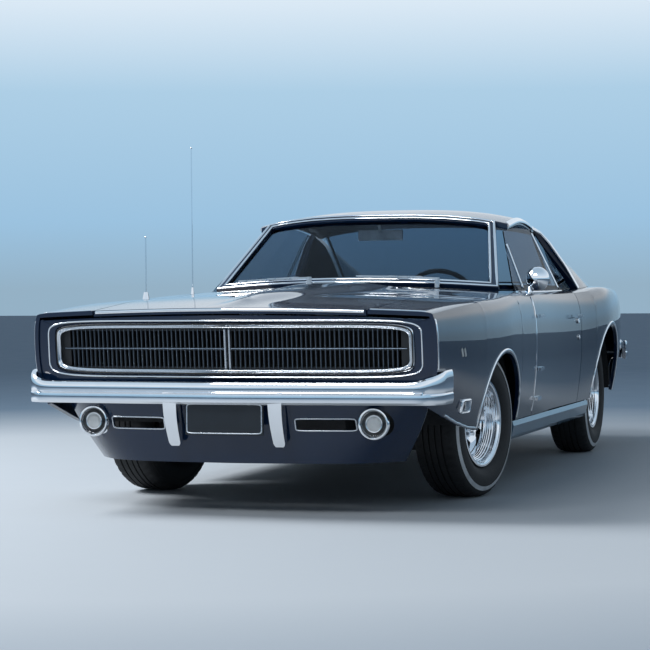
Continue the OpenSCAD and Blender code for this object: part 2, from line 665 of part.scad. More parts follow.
// Bumpers: half the path runs out from the middle, round a corner and back along the side
corner_r = 120;
bumper_side = half - 30;
rear_bumper_side = half - tail_taper + 68;
bumper_thin = 0.6;
function bumper_half(reach, side, sweep_back, tail) = let (v = atan(sweep_back / half),
    cy = side - corner_r,
        cx = reach - tan(v) * (cy + corner_r * sin(v)) - corner_r * cos(v)) concat(
    [for (i = [0 : 5]) let (y = (cy + corner_r * sin(v)) * i / 5) [reach - tan(v) * y, y, cos(v), sin(v),
        0]],
    [for (i = [1 : 6]) let (a = lerp(v, 90, i / 6))
        [cx + corner_r * cos(a), cy + corner_r * sin(a), cos(a), sin(a), i / 6]],
    [for (i = [1 : 2]) [cx - tail * i / 2, side, 0, 1, 1]]);
// Columns: distance in from the face as a share of the depth, height as a share
bumper_section = [[1, 0.04], [0.2, 0], [0.02, 0.1], [0, 0.3], [0.02, 0.44], [0.16, 0.5], [0.02, 0.56],
    [0, 0.8],
    [0.1, 0.95], [0.3, 1], [1, 0.96]];
function bumper_ring(p, top, rise) = let (d = bumper_d * (1 - bumper_thin * min(1, 2 * p[4])))
    [for (q = bumper_section) [p[0] - p[2] * q[0] * d, p[1] - p[3] * q[0] * d,
        top - bumper_h * (1 - q[1]) + rise * p[4] * max(0, q[1] - 0.5) * 2]];
module bumper(top, side, sweep_back, tail, rise) {
    path = bumper_half(length / 2, side, sweep_back, tail);
    n = len(path) - 1;
    full = concat([for (i = [n : -1 : 1]) let (p = path[i]) [p[0], -p[1], p[2], -p[3], p[4]]], path);
    sweep([for (p = full) bumper_ring(p, top, rise)]);
}

// Guards hang from the bumper beside the plate, narrower and round at the foot.
// Columns: distance back from the face, height
guard_y = 236;
guard_w = 66;
guard_low_r = 26;
guard_low = bumper_top - 284;
guard_side = [[52, bumper_top - 46], [8, bumper_top - 46], [4, bumper_top - 80], [10, bumper_top - 140],
    [34, bumper_top - 205], [74, guard_low + 6], [96, guard_low], [77, bumper_top - 150],
    [54, bumper_top - bumper_h + 2]];
module guard_front() {
    polygon([[-guard_w / 2, bumper_top], [guard_w / 2, bumper_top], [guard_low_r, guard_low + guard_low_r],
        [-guard_low_r, guard_low + guard_low_r]]);
    translate([0, guard_low + guard_low_r]) circle(r = guard_low_r);
}
module guard() {
    translate([length / 2 - vee(guard_y), guard_y, 0]) intersection() {
        translate([0, guard_w / 2, 0]) rotate([90, 0, 0]) linear_extrude(guard_w)
            polygon([for (p = guard_side) [-p[0], p[1]]]);
        translate([-200, 0, 0]) rotate([90, 0, 90]) linear_extrude(400) guard_front();
    }
}

module front_bumper() {
    color(bright) union() {
        bumper(bumper_top, bumper_side, nose_v, 110, bumper_rise);
        both_sides() guard();
    }
}

rear_bumper_top = 600;
stay_y = 400;
stay_w = 60;
module rear_bumper() {
    color(bright) rotate([0, 0, 180]) union() {
        bumper(rear_bumper_top, rear_bumper_side, 0, 60, 20);
        both_sides() translate([-tail_x - tail_set + seat_gap, stay_y, rear_bumper_top - 80])
            cube([tail_set + 10, stay_w, 60]);
    }
}

// Nose frame round the grille opening
grille_mid = (grille_top + grille_bottom) / 2;
grille_hh = (grille_top - grille_bottom) / 2;
frame_set = 8;
nose_depth = 96;
frame_clear = 0.8;
frame_low = 574;
nose_inset = hood_t + gap;
moulding_w = 20;
module nose_frame() {
    w = grille_hw + moulding_w + frame_clear;
    h = grille_hh + moulding_w + frame_clear;
    shape = section(nose_x, frame_low, 0, 8, 8);
    side = inset(shape, panel_t + 3 * seat_gap);
    outline = [for (i = [0 : 16]) i < 7 ? side[i] : inset(shape, nose_inset)[i]];
    corner = outline[0];
    opening = [for (i = [0 : 24]) let (a = -90 + 7.5 * i)
        [w * max(0, cos(a)) ^ squareness, grille_mid + h * sign(sin(a)) * abs(sin(a)) ^ squareness]];
    bottom = [for (i = [0 : 7]) [corner[0] * opening[i][0] / opening[8][0], frame_low]];
    outer = concat(bottom, outline);
    inner = opening;
    n = len(outer) - 1;
    function whole(half_loop) = concat(half_loop,
        [for (i = [n - 1 : -1 : 1]) [-half_loop[i][0], half_loop[i][1]]]);
    out = whole(outer);
    into = whole(inner);
    function put(p, d) = [face_x(p[0], p[1]) - d, p[0], p[1]];
    color(paint) loop([for (i = [0 : len(out) - 1]) [put(out[i], frame_set), put(into[i], frame_set),
        put(into[i], frame_set + nose_depth), put(out[i], frame_set + nose_depth)]]);
}

moulding_n = 48;
moulding_depth = 62;
module grille_moulding() {
    out = round_box(grille_hw + moulding_w, grille_hh + moulding_w, moulding_n);
    mid = round_box(grille_hw + moulding_w * 0.4, grille_hh + moulding_w * 0.4, moulding_n);
    into = round_box(grille_hw, grille_hh, moulding_n);
    function put(p, d) = let (z = grille_mid + p[1]) [face_x(p[0], z) - d, p[0], z];
    color(bright) loop([for (i = [0 : moulding_n - 1]) [put(out[i], 14), put(mid[i], 2), put(into[i], 12),
        put(into[i], moulding_depth), put(out[i], moulding_depth)]]);
}

// Grille: each half is a plate with upright slots, turned to follow the nose
grille_t = 22;
grille_set = 34;
rail_h = 12;
mullion_w = 26;
module grille() {
    v = atan(nose_v / half);
    tip = atan(nose_lean / (nose_h - grille_bottom));
    w = (grille_hw - 2.2) / cos(v);
    h = (grille_hh - 1.7) / cos(tip);
    pitch = (w - mullion_w / 2 - 40) / bars;
    module half_plate() difference() {
        polygon([for (p = round_box(w, h, moulding_n)) if (p[0] >= -0.01) p]);
        for (i = [0 : bars - 1], s = [-1, 1])
            let (y0 = mullion_w / 2 + i * pitch, tall = h - rail_h * 1.5 - 4)
            translate([y0 + bar_w / 2, s > 0 ? rail_h / 2 : -rail_h / 2 - tall]) square([pitch - bar_w,
                tall]);
    }
    color(dark) both_sides() intersection() {
        translate([face_x(0, grille_mid) - grille_set - grille_t / 2, 0, grille_mid]) rotate([0, 0, v])
            rotate([0, tip, 0]) rotate([90, 0, 90]) linear_extrude(grille_t, center = true) half_plate();
        cube([length, half, roof_h]);
    }
}

// Front valance under the bumper
valance_top = bumper_top - bumper_h + 14;
valance_low = 226;
valance_t = 12;
valance_hw = half - 142;
valance_low_hw = 700;
valance_tuck = 0.36;
valance_wrap = 190;
function valance_w(z) = lerp(valance_hw, valance_low_hw,
    ((valance_top - z) / (valance_top - valance_low)) ^ 1.3);
function valance_x(y, z) = length / 2 - bumper_d - fit - vee(y) - valance_tuck * (valance_top - z)
    - valance_wrap * (abs(y) / valance_w(z)) ^ 6;
slot_y = 300;
slot_w = 250;
slot_z = 396;
slot_h = 44;
lamp_z = 402;
module front_valance() {
    ts = [for (i = [-12 : 12]) i / 12];
    zs = [for (j = [0 : 6]) lerp(valance_low, valance_top, j / 6)];
    function point(z, t, d) = let (y = t * valance_w(z)) [valance_x(y, z) - d, y, z];
    color(paint) difference() {
        plate([for (z = zs) [for (t = ts) point(z, t, 0)]],
            [for (z = zs) [for (t = ts) point(z, t, valance_t)]]);
        both_sides() translate([nose_x - 400, slot_y, slot_z - slot_h / 2]) cube([600, slot_w, slot_h]);
        both_sides() translate([nose_x - 500, lamp_y, lamp_z]) rotate([0, 90, 0])
            cylinder(r = lamp_r - 6, h = 700);
    }
}

lamp_d = 70;
module fog_lamps() {
    x = max([for (a = [0 : 15 : 345]) valance_x(lamp_y + lamp_r * cos(a), lamp_z + lamp_r * sin(a))]) - fit;
    color(lamp) both_sides() translate([x, lamp_y, lamp_z]) rotate([0, 90, 0]) rotate_extrude()
        polygon([[0, -lamp_d], [lamp_r * 0.5, -lamp_d], [lamp_r - 8, -12], [lamp_r - 8, 0], [lamp_r, 0],
            [lamp_r, 12], [lamp_r - 5, 18], [lamp_r - 14, 18], [lamp_r - 16, 10], [lamp_r * 0.6, 17],
                [0, 20]]);
}

marker_l = 92;
marker_h = 40;
marker_t = 7;
// Columns: x, height
markers = [[nose_x - 470, waist_h - 235], [tail_x + 290, waist_h - 90]];
module side_markers() {
    color(lamp) both_sides() for (m = markers)
        let (y = max(side_y(m[0] - marker_l / 2, m[1] + marker_h / 2),
        side_y(m[0] + marker_l / 2, m[1] + marker_h / 2)) + seat_gap)
        translate(bend([m[0], y, m[1]])) translate([-marker_l / 2, 0, -marker_h / 2])
            cube([marker_l, marker_t, marker_h]);
}

// Rockers under the doors
module sills() {
    start = axle_r + arch_r + gap;
    color(trim) both_sides() translate([start, 0, 0]) rotate([90, 0, 90])
        linear_extrude(wheelbase - 2 * (arch_r + gap))
            polygon([[half - 140, sill_low], [half - 100, sill_low],
            [half - 84, sill_low + 18], [half - 72, sill_low + 68], [half - 78, sill_top],
                [half - 140, sill_top]]);
}

// Underbody: floor with a tunnel, rails and the wall ahead of the cabin
floor_t = 14;
rail_y = 380;
rail_w = 62;
rail_z = 420;
rail_hgt = 78;
rail_end = nose_x - 180;
tunnel_r = 132;
tunnel_t = 10;
firewall_x = cowl_front + 70;
rear_floor_hw = 590;
seat_floor_z = 410;
rear_floor_z = 496;
kick_x = axle_r + 720;
floor_path = [[firewall_x, 900], [firewall_x, 500], [firewall_x - 180, floor_z], [kick_x, floor_z],
    [kick_x - 125, seat_floor_z], [axle_r + 210, seat_floor_z], [axle_r + 150, rear_floor_z],
    [tail_x + 140, rear_floor_z]];
stay_z = bumper_top - 75;
core_x = nose_x - nose_depth - 130;
module floor_pan() {
    low = floor_z - floor_t;
    n = len(floor_path) - 1;
    run = firewall_x - kick_x;
    color(dark) difference() {
        union() {
            translate([0, rear_floor_hw, 0]) rotate([90, 0, 0]) linear_extrude(2 * rear_floor_hw)
                polygon(concat(
                floor_path, [for (i = [n : -1 : 0]) floor_path[i] + [i < 2 ? floor_t : 0,
                    i > 1 ? -floor_t : 0]]));
            translate([kick_x - 40, -half + 140, low]) cube([run - 180, body_w - 280, floor_t]);
            translate([kick_x - 60, 0, floor_z]) rotate([0, 90, 0]) cylinder(r = tunnel_r, h = run + 60);
        }
        translate([kick_x - 100, 0, floor_z]) rotate([0, 90, 0])
            cylinder(r = tunnel_r - tunnel_t, h = run + 200);
        translate([kick_x - 100, -tunnel_r, low - 200]) cube([run + 200, 2 * tunnel_r, 200]);
        translate([kick_x - 100, -tunnel_r + tunnel_t, low - 10])
            cube([run + 200, 2 * (tunnel_r - tunnel_t), floor_t + 10]);
    }
}

// Rails run from the wall ahead of the cabin to the bumper, through the radiator's support
core_in = 100;
stay_h = 60;
module frame_rails() {
    start = firewall_x + floor_t + seat_gap;
    color(dark) union() {
        both_sides() translate([start, rail_y, rail_z]) cube([rail_end - start, rail_w, rail_hgt]);
        both_sides() translate([rail_end - 100, rail_y, rail_z])
            cube([100, rail_w, stay_z + stay_h - rail_z]);
        both_sides() translate([rail_end - 100, rail_y, stay_z])
            cube([length / 2 - bumper_d - vee(rail_y + rail_w) - seat_gap - rail_end + 100, rail_w,
                stay_h]);
        translate([core_x, -grille_hw + core_in, rail_z])
            cube([24, 2 * (grille_hw - core_in), nose_h - 50 - rail_z]);
    }
}

// Inner wheel wells
well_t = 8;
well_in_f = rail_y + rail_w + seat_gap;
well_in_r = rear_floor_hw + seat_gap;
well_out = half - 95;
module well(axle, inner, wall_low) {
    r = arch_r + 4;
    color(dark) intersection() {
        translate([axle, inner, hub_z]) rotate([-90, 0, 0]) difference() {
            cylinder(r = r + well_t, h = well_out - inner);
            translate([0, 0, well_t]) cylinder(r = r, h = well_out);
        }
        union() {
            translate([axle - 600, inner - 1, wall_low]) cube([1200, half, 800]);
            translate([axle - 600, inner + well_t, hub_z + 10]) cube([1200, half, 800]);
        }
    }
}

module wheelhouses_front() both_sides() well(axle_f, well_in_f, 482);
module wheelhouses_rear() both_sides() well(axle_r, well_in_r, 480);

// Engine and gearbox as one plain block
engine_l = 700;
engine_w = 560;
cross_top = 300;
hood_room = 120;
engine_h = belt_h - hood_room - cross_top;
gearbox_l = 760;
gearbox_w = 140;
engine_x = axle_f - 20;
module engine() {
    color(dark) union() {
        translate([engine_x - engine_l / 2, -engine_w / 2, cross_top + seat_gap])
            cube([engine_l, engine_w, engine_h]);
        translate([engine_x - engine_l / 2 - gearbox_l, -gearbox_w / 2, floor_z - 60])
            cube([gearbox_l + 10, gearbox_w, 150]);
    }
}

// Front suspension: a crossmember with one arm above and one below each knuckle
arm_off = 118;
arm_w = 62;
arm_t = 30;
pin_r = 15;
boss_r = 32;
king_y = wheel_y - kingpin_in;
cross_l = 130;
module arm(z, y0) {
    difference() {
        union() {
            translate([axle_f - arm_w / 2, y0, z - arm_t / 2]) cube([arm_w, king_y - y0, arm_t]);
            translate([axle_f, king_y, z - arm_t / 2]) cylinder(r = boss_r, h = arm_t);
        }
        translate([axle_f, king_y, z - arm_t]) cylinder(r = pin_r + run_clear, h = 2 * arm_t);
    }
}

module front_suspension() {
    color(dark) union() {
        translate([axle_f - cross_l / 2, -rail_y - rail_w, cross_top - 70])
            cube([cross_l, 2 * (rail_y + rail_w), 70]);
        both_sides() translate([axle_f - cross_l / 2, rail_y, cross_top - 10])
            cube([cross_l, rail_w, rail_z - cross_top + 10]);
        both_sides() arm(hub_z - arm_off, rail_y + 10);
        both_sides() arm(hub_z + arm_off, rail_y + rail_w);
    }
}

// Knuckle: an upright on two pins, with the spindle
module knuckle() {
    reach = arm_off - arm_t / 2 - 1;
    color(dark) translate([axle_f, king_y, hub_z]) union() {
        translate([0, 0, -arm_off - arm_t / 2]) cylinder(r = pin_r, h = 2 * arm_off + arm_t);
        translate([0, 0, -reach]) cylinder(r = 26, h = 2 * reach);
        rotate([-90, 0, 0]) cylinder(r = 34, h = kingpin_in - 14);
        rotate([-90, 0, 0]) cylinder(r = spindle_r, h = kingpin_in + 52);
    }
}

module steered(side) translate([axle_f, side * king_y, 0]) rotate([0, 0, steer])
    translate([-axle_f, -side * king_y, 0])
    children();
module knuckle_left() steered(1) knuckle();
module knuckle_right() steered(-1) mirror([0, 1, 0]) knuckle();

// Wheel: a dished rim with five spokes, axis along Z with the outside up
spokes = 5;
lug_pcd = 114.3;
lug_r = 11;
face_z = 12;
module wheel() {
    rb = rim_d / 2;
    hw = rim_w / 2;
    color(bright) difference() {
        union() {
            rotate_extrude() polygon([[rb - 14, -hw], [rb + 14, -hw], [rb + 14, -hw + 7], [rb, -hw + 12],
                [rb, -26],
                [rb - 22, -14], [rb - 22, 20], [rb, 34], [rb, hw - 12], [rb + 14, hw - 7], [rb + 14, hw],
                [rb + 6, hw], [rb - 8, hw - 10], [rb - 12, hw - 30], [rb - 30, face_z + 14],
                    [rb - 34, face_z],
                [rb - 34, face_z - 12], [rb - 31, -20], [rb - 9, -32]]);
            rotate_extrude() polygon([[0, -14], [72, -14], [78, -2], [rb - 31, face_z - 10],
                [rb - 31, face_z + 6],
                [96, face_z + 22], [70, face_z + 12], [40, face_z + 12], [38, face_z + 34],
                    [26, face_z + 42], [0, face_z + 44]]);
            for (i = [0 : spokes - 1]) rotate([0, 0, 360 / spokes * (i + 0.5)])
                translate([lug_pcd / 2, 0, 0])
                cylinder(r = lug_r, h = face_z + 30, $fn = 6);
        }
        for (i = [0 : spokes - 1]) rotate([0, 0, 360 / spokes * i]) translate([0, 0, -60])
            linear_extrude(200)
            polygon([[88, -24], [rb - 46, -50], [rb - 38, -30], [rb - 36, 0], [rb - 38, 30],
                [rb - 46, 50], [88, 24], [82, 0]]);
        translate([0, 0, -60]) cylinder(r = spindle_r + run_clear, h = 60 + 53);
    }
}

module tyre() {
    rb = rim_d / 2 + seat_gap;
    ro = tyre_d / 2;
    w = tyre_w / 2;
    bead = rim_w / 2 - 13;
    color(rubber) rotate_extrude() polygon([[rb, -bead], [rb + 18, -bead], [rb + 34, -w + 8],
        [rb + 62, -w], [ro - 70, -w + 1],
        [ro - 36, -w + 8], [ro - 12, -w + 20], [ro - 3, -w + 34], [ro, -w + 56], [ro, w - 56],
            [ro - 3, w - 34],
        [ro - 12, w - 20], [ro - 36, w - 8], [ro - 70, w - 1], [rb + 62, w], [rb + 34, w - 8],
            [rb + 18, bead], [rb, bead]]);
}

module at_wheel(axle, side) translate([axle, side * wheel_y, hub_z]) rotate([-90 * side, 0, 0]) children();
module wheel_front_left() steered(1) at_wheel(axle_f, 1) wheel();
module wheel_front_right() steered(-1) at_wheel(axle_f, -1) wheel();
module wheel_rear_left() at_wheel(axle_r, 1) wheel();
module wheel_rear_right() at_wheel(axle_r, -1) wheel();
module tyre_front_left() steered(1) at_wheel(axle_f, 1) tyre();
module tyre_front_right() steered(-1) at_wheel(axle_f, -1) tyre();
module tyre_rear_left() at_wheel(axle_r, 1) tyre();
module tyre_rear_right() at_wheel(axle_r, -1) tyre();

// Rear axle on leaf springs, with the shaft from the gearbox
axle_tube_r = 38;
shaft_r = 36;
shaft_z = floor_z + 45;
spring_y = 515;
spring_w = 60;
spring_r = 12000;
spring_l = 540;
leaf_t = 9;
leaves = 3;
eye = 28;
spring_top = hub_z - axle_tube_r + 4;
function spring_z(x) = spring_top + x ^ 2 / spring_r / 2;
module rear_axle() {
    shaft_end = engine_x - engine_l / 2 - gearbox_l - seat_gap;
    color(dark) union() {
        translate([axle_r, 0, hub_z]) rotate([90, 0, 0])
            cylinder(r = axle_tube_r, h = 2 * (wheel_y - 60), center = true);
        translate([axle_r, 0, hub_z]) rotate([90, 0, 0])
            cylinder(r = spindle_r, h = 2 * (wheel_y + 50), center = true);
        translate([axle_r, 0, hub_z]) rotate([90, 0, 0]) cylinder(r = 128, h = 190, center = true);
        translate([axle_r, 0, hub_z]) rotate([0, 90, 0]) cylinder(r = 62, h = 190);
        translate([axle_r + 150, 0, shaft_z]) rotate([0, 90, 0])
            cylinder(r = shaft_r, h = shaft_end - axle_r - 150);
        both_sides() for (k = [0 : leaves - 1]) let (l = spring_l - 130 * k, drop = k * (leaf_t - 0.5))
            translate([axle_r, spring_y + spring_w / 2, 0]) rotate([90, 0, 0]) linear_extrude(spring_w)
                polygon(concat(
                [for (i = [-4 : 4]) [l * i / 4, spring_z(l * i / 4) - drop]],
                [for (i = [4 : -1 : -4]) [l * i / 4, spring_z(l * i / 4) - drop - leaf_t]]));
        both_sides() for (e = [[spring_l - eye, seat_floor_z], [-spring_l, rear_floor_z]])
            let (z = spring_z(spring_l) - leaf_t)
            translate([axle_r + e[0], spring_y - eye / 2, z])
                cube([eye, eye, e[1] - floor_t - seat_gap - z]);
    }
}

pipe_r = 28;
pipe_y = 425;
pipe_z = floor_z - floor_t - pipe_r - seat_gap;
muffler_l = 520;
module exhaust() {
    start = engine_x - engine_l / 2 - 40;
    color(bright) both_sides() union() {
        translate([tail_x + 50, pipe_y, pipe_z]) rotate([0, 90, 0]) difference() {
            cylinder(r = pipe_r, h = start - tail_x - 50);
            translate([0, 0, -1]) cylinder(r = pipe_r - 4, h = 260);
        }
        translate([axle_r + 100, pipe_y, pipe_z + 4]) rotate([0, 90, 0]) cylinder(r = 62, h = muffler_l);
    }
}

module fuel_tank() {
    rear = lerp(tail_x, axle_r, 0.2);
    color(dark) translate([rear, -330, 310])
        cube([lerp(tail_x, axle_r, 0.6) - rear, 660, rear_floor_z - floor_t - seat_gap - 310]);
}

// Cabin
module seat_side(cushion_l, back_h) polygon(concat([[-20, 0], [cushion_l - 30, 20]],
    [for (a = [-60 : 30 : 120]) [cushion_l - 40 + 70 * cos(a), 100 + 70 * sin(a)]],
    [[90, 130], [20, back_h - 60]],
    [for (a = [20 : 40 : 180]) [-40 + 62 * cos(a), back_h - 40 + 50 * sin(a)]],
        [[-120, back_h - 120], [-60, 40]]));

module front_seats() {
    color(trim) both_sides() translate([door_front - 600, seat_y + seat_w / 2, floor_z + seat_gap])
        rotate([90, 0, 0]) linear_extrude(seat_w)
        seat_side(520, 640);
}

rear_seat_w = 1120;
module rear_seat() {
    color(trim) translate([axle_r + 520, rear_seat_w / 2, seat_floor_z + seat_gap]) rotate([90, 0, 0])
        linear_extrude(rear_seat_w)
        polygon([[-60, 0], [70, 0], [290, 20], [330, 70], [320, 120], [60, 140], [0, 430], [-50, 460],
            [-120, 440]]);
}

dash_w = 1240;
module dashboard() {
    x = firewall_x - seat_gap;
    color(trim) translate([x, dash_w / 2, 0]) rotate([90, 0, 0]) linear_extrude(dash_w)
        polygon([[0, belt_h - 250], [0, belt_h - 70], [-60, belt_h - 35], [-300, belt_h - 35],
            [-400, belt_h - 60], [-420, belt_h - 90], [-380, belt_h - 120], [-330, belt_h - 250]]);
}

helm_tilt = 28;
helm_column = 270;
helm_pos = [screen_low_x - 350, seat_y, belt_h - 60];
module steering_wheel() {
    color(trim) translate(helm_pos) rotate([0, 90 + helm_tilt, 0]) union() {
        rotate_extrude() translate([helm_r, 0]) circle(r = 13);
        for (a = [90, 210, 330]) rotate([0, 0, a]) translate([0, -14, -6]) cube([helm_r, 28, 10]);
        translate([0, 0, -14]) cylinder(r = 46, h = 34);
        cylinder(r = 26, h = helm_column);
    }
}

// A square bar between two points
module bar(p, q, w) {
    d = q - p;
    translate(p) rotate([0, -asin(d[2] / norm(d)), atan2(d[1], d[0])]) translate([0, -w / 2, -w / 2])
        cube([norm(d), w, w]);
}

mirror_w = 240;
mirror_h = 56;
stalk_l = 60;
module interior_mirror() {
    p = screen(0, 1 - w_edge / 2) - screen_dir * (frame_d / 2 + seat_gap);
    q = p - screen_dir * stalk_l;
    color(bright) union() {
        translate(p) rotate([0, atan2(-screen_dir[0], -screen_dir[2]), 0]) cylinder(r = 9, h = stalk_l);
        translate([q[0] - 12, -mirror_w / 2, q[2] - mirror_h + 14]) cube([18, mirror_w, mirror_h]);
    }
}

// Wipers park along the foot of the windscreen. Columns: pivot's distance from the middle
wiper_y = [460, -200];
wiper_l = 430;
wiper_set = 12;
module wipers() {
    function rest(y) = let (u = y / (screen_low_hw + frame_w))
        screen(u, 0.06) + screen_dir * (frame_d / 2 + wiper_set);
    color(bright) for (y = wiper_y) let (x = screen_low(y / (screen_low_hw + frame_w))[0] + 52,
        foot = [x, y, top_z(x, y)], top = foot + [0, 0, 46], mid = rest(y - wiper_l * 0.6)) union() {
        translate(foot + [0, 0, 1]) cylinder(r = 13, h = 50);
        bar(top, mid, 9);
        bar(rest(y - wiper_l * 0.2), rest(y - wiper_l), 9);
    }
}

// Columns: x, distance from the middle, length, base radius
whips = [[axle_f + 30, -0.84 * half, 300, 17], [cowl_front - 90, -0.83 * half, 745, 9]];
module antennas() {
    color(bright) for (w = whips) translate([w[0], w[1], top_z(w[0], w[1]) + 1.5]) union() {
        cylinder(r1 = w[3], r2 = w[3] * 0.6, h = 34);
        cylinder(r = 3.2, h = w[2]);
        translate([0, 0, w[2]]) sphere(r = 5);
    }
}

// Handle, and three fins behind the door's leading edge
handle_l = 150;
handle_share = 0.77;
// Columns: height as a share of the door's height, length
fins = [[0.795, 190], [0.36, 170], [0.115, 170]];
fin_h = 16;
module door_trim() {
    hx = door_rear + 150;
    hz = lerp(panel_low, belt_h, handle_share);
    function column(i) = lerp(door_front, door_rear, i / door_cols);
    function flat_y(x, z) = let (u = (door_front - x) / door_len * door_cols,
        i = min(door_cols - 1, floor(u)))
        lerp(side_y(column(i), z), side_y(column(i + 1), z), u - i);
    function skin(x, z) = max(flat_y(x, z), flat_y(x, z + fin_h / 2), flat_y(x, z + fin_h)) + 0.1;
    color(bright) union() {
        for (f = fins) let (x = door_front - 16, z = lerp(panel_low, belt_h, f[0]), n = 4,
            base = [for (i = [0 : n]) let (u = x - f[1] * i / n) [u, skin(u, z)]]) translate([0, 0, z])
            linear_extrude(fin_h) polygon(concat(base, [[x - f[1], base[n][1] + 6], [x, base[0][1] + 20]]));
        translate([hx - handle_l / 2, skin(hx, hz) + 18, hz - 2]) cube([handle_l, 12, 20]);
        for (e = [-1, 1]) let (fx = hx + e * (handle_l / 2 - 14))
            translate([fx - 10, max(skin(fx - 10, hz), skin(fx + 10, hz)) - 2 * fit, hz])
                cube([20, 26, 16]);
    }
}

module door_trim_left() door_trim();
module door_trim_right() mirror([0, 1, 0]) door_trim();

mirror_x = door_front - 290;
mirror_y = half - 133;
mirror_r = 62;
mirror_rise = 66;
mirror_reach = 38;
module door_mirror() {
    z = top_z(mirror_x, mirror_y - 16);
    color(bright) translate([mirror_x, mirror_y, z]) union() {
        translate([0, 0, seat_gap]) cylinder(r1 = 16, r2 = 9, h = 26);
        translate([0, 0, 20]) cylinder(r = 9, h = mirror_rise - 20);
        translate([-10, mirror_reach, mirror_rise]) rotate([0, 90, 0]) rotate_extrude()
            polygon([[0, -14], [mirror_r - 4, -14], [mirror_r, -8], [mirror_r - 6, 14],
                [mirror_r * 0.7, 34],
                [0, 46]]);
    }
}

floor_pan();
frame_rails();
wheelhouses_front();
wheelhouses_rear();
hinge_posts();
sills();
cowl();
fender_left();
fender_right();
quarter_left();
quarter_right();
roof();
windscreen_frame();
c_pillars();
rear_deck();
tail_panel();
tail_lamps();
rear_bumper();
nose_frame();
grille_moulding();
grille();
front_bumper();
front_valance();
fog_lamps();
side_markers();
windscreen();
rear_window();
quarter_windows();
dashboard();
steering_wheel();
front_seats();
rear_seat();
interior_mirror();
wipers();
antennas();
engine();
front_suspension();
rear_axle();
exhaust();
fuel_tank();
hood();
trunk_lid();
door_left();
door_right();
door_glass_left();
door_glass_right();
door_trim_left();
door_trim_right();
door_mirror();
knuckle_left();
knuckle_right();
wheel_front_left();
wheel_front_right();
wheel_rear_left();
wheel_rear_right();
tyre_front_left();
tyre_front_right();
tyre_rear_left();
tyre_rear_right();
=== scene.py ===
import json
from math import cos, pi, radians, sin

import bmesh
import bpy
from mathutils import Matrix, Vector
from mathutils.bvhtree import BVHTree
from mathutils.geometry import convex_hull_2d


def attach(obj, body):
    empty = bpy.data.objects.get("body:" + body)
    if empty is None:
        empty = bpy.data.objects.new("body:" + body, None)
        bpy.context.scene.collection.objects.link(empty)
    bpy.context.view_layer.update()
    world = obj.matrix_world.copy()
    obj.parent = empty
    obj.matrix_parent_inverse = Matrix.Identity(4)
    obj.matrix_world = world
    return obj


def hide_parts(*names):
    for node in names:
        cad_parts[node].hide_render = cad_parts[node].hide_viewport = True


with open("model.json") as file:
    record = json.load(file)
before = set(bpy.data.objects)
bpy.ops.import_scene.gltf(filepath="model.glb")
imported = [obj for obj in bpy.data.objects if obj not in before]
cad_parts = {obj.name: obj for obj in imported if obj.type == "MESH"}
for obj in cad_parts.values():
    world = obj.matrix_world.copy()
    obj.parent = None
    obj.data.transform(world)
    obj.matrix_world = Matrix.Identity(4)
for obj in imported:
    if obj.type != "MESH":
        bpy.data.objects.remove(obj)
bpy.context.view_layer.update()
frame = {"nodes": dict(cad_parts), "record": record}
nodes = frame["nodes"]
scene = bpy.context.scene
scene.view_settings.view_transform = "Standard"

# Main places, in metres, as in the part's source
HALF = 0.973
AXLE_F, AXLE_R, HUB_Z = 1.410, -1.350, 0.345
WHEEL_Y, KING_Y = 0.758, 0.713
STEER = radians(-11)
ARCH_R, FRONT_ARCH_H = 0.402, 0.324
DOOR_FRONT, DOOR_REAR = 0.620, -0.600
NOSE_X, NOSE_V, NOSE_LEAN, NOSE_H = 2.580, 0.070, 0.025, 0.870
GRILLE_HW, GRILLE_TOP, GRILLE_LOW, GRILLE_SET = 0.796, 0.812, 0.622, 0.034
GRILLE_MID, GRILLE_HALF_H = (GRILLE_TOP + GRILLE_LOW) / 2, (GRILLE_TOP - GRILLE_LOW) / 2
GRILLE_BARS = 36
SCREEN_LOW_X, SCREEN_TOP_X, SCREEN_LOW_HW, SCREEN_TOP_HW = 0.730, 0.177, 0.750, 0.621
SCREEN_FRAME, SCREEN_FRAME_DEPTH = 0.046, 0.034
ROOF_HW, ROOF_REAR_HW, ROOF_FRONT_X, ROOF_REAR_X = 0.682, 0.632, 0.170, -0.830
REAR_LOW_X, REAR_LOW_BOW, REAR_LOW_HW = -1.330, 0.060, 0.630
REAR_TOP_X, REAR_TOP_BOW, REAR_TOP_HW = -0.842, 0.017, 0.615
BELT = 0.940
QUARTER_LOW, QUARTER_TOP = -0.920, -0.700
TYRE_R, TYRE_HW, RIM_R = 0.345, 0.114, 0.1905
LAMP_Y, LAMP_Z, LAMP_R = 0.635, 0.402, 0.068
SLOT_Y, SLOT_W, SLOT_Z, SLOT_H = 0.300, 0.250, 0.396, 0.044
TAIL_LAMP_Y, TAIL_LAMP_Z, TAIL_LAMP_W, TAIL_LAMP_H = 0.410, 0.768, 0.290, 0.062
SEAT_X, SEAT_Y, SEAT_W, FLOOR_Z = 0.020, 0.392, 0.490, 0.252
REAR_SEAT_X, REAR_SEAT_Z, REAR_SEAT_W = -0.830, 0.410, 1.120
HELM, HELM_R, HELM_TILT = (0.380, 0.392, 0.880), 0.195, radians(28)
MARKERS = (("front", 2.054, 0.455), ("rear", -2.290, 0.600))
PIPE_Y, PIPE_Z, PIPE_END = 0.425, 0.2097, -2.4
ENGINE_X, ENGINE_TOP, ENGINE_FRONT = 1.390, 0.820, 1.740

# Half the floor's width, and the middle of its pale part
FLOOR_HALF, FLOOR_MIDDLE = 60, (1.2, -0.6)
# Starts of casts, well outside the car
FAR_X, FAR_Y, FAR_Z = 4, 2, 3
# Degrees over which shading splits, on most pieces and on strips and lamps, or a panel's edge stays hard
SHARP, SHARP_STRIP, HARD = 35, 40, 28
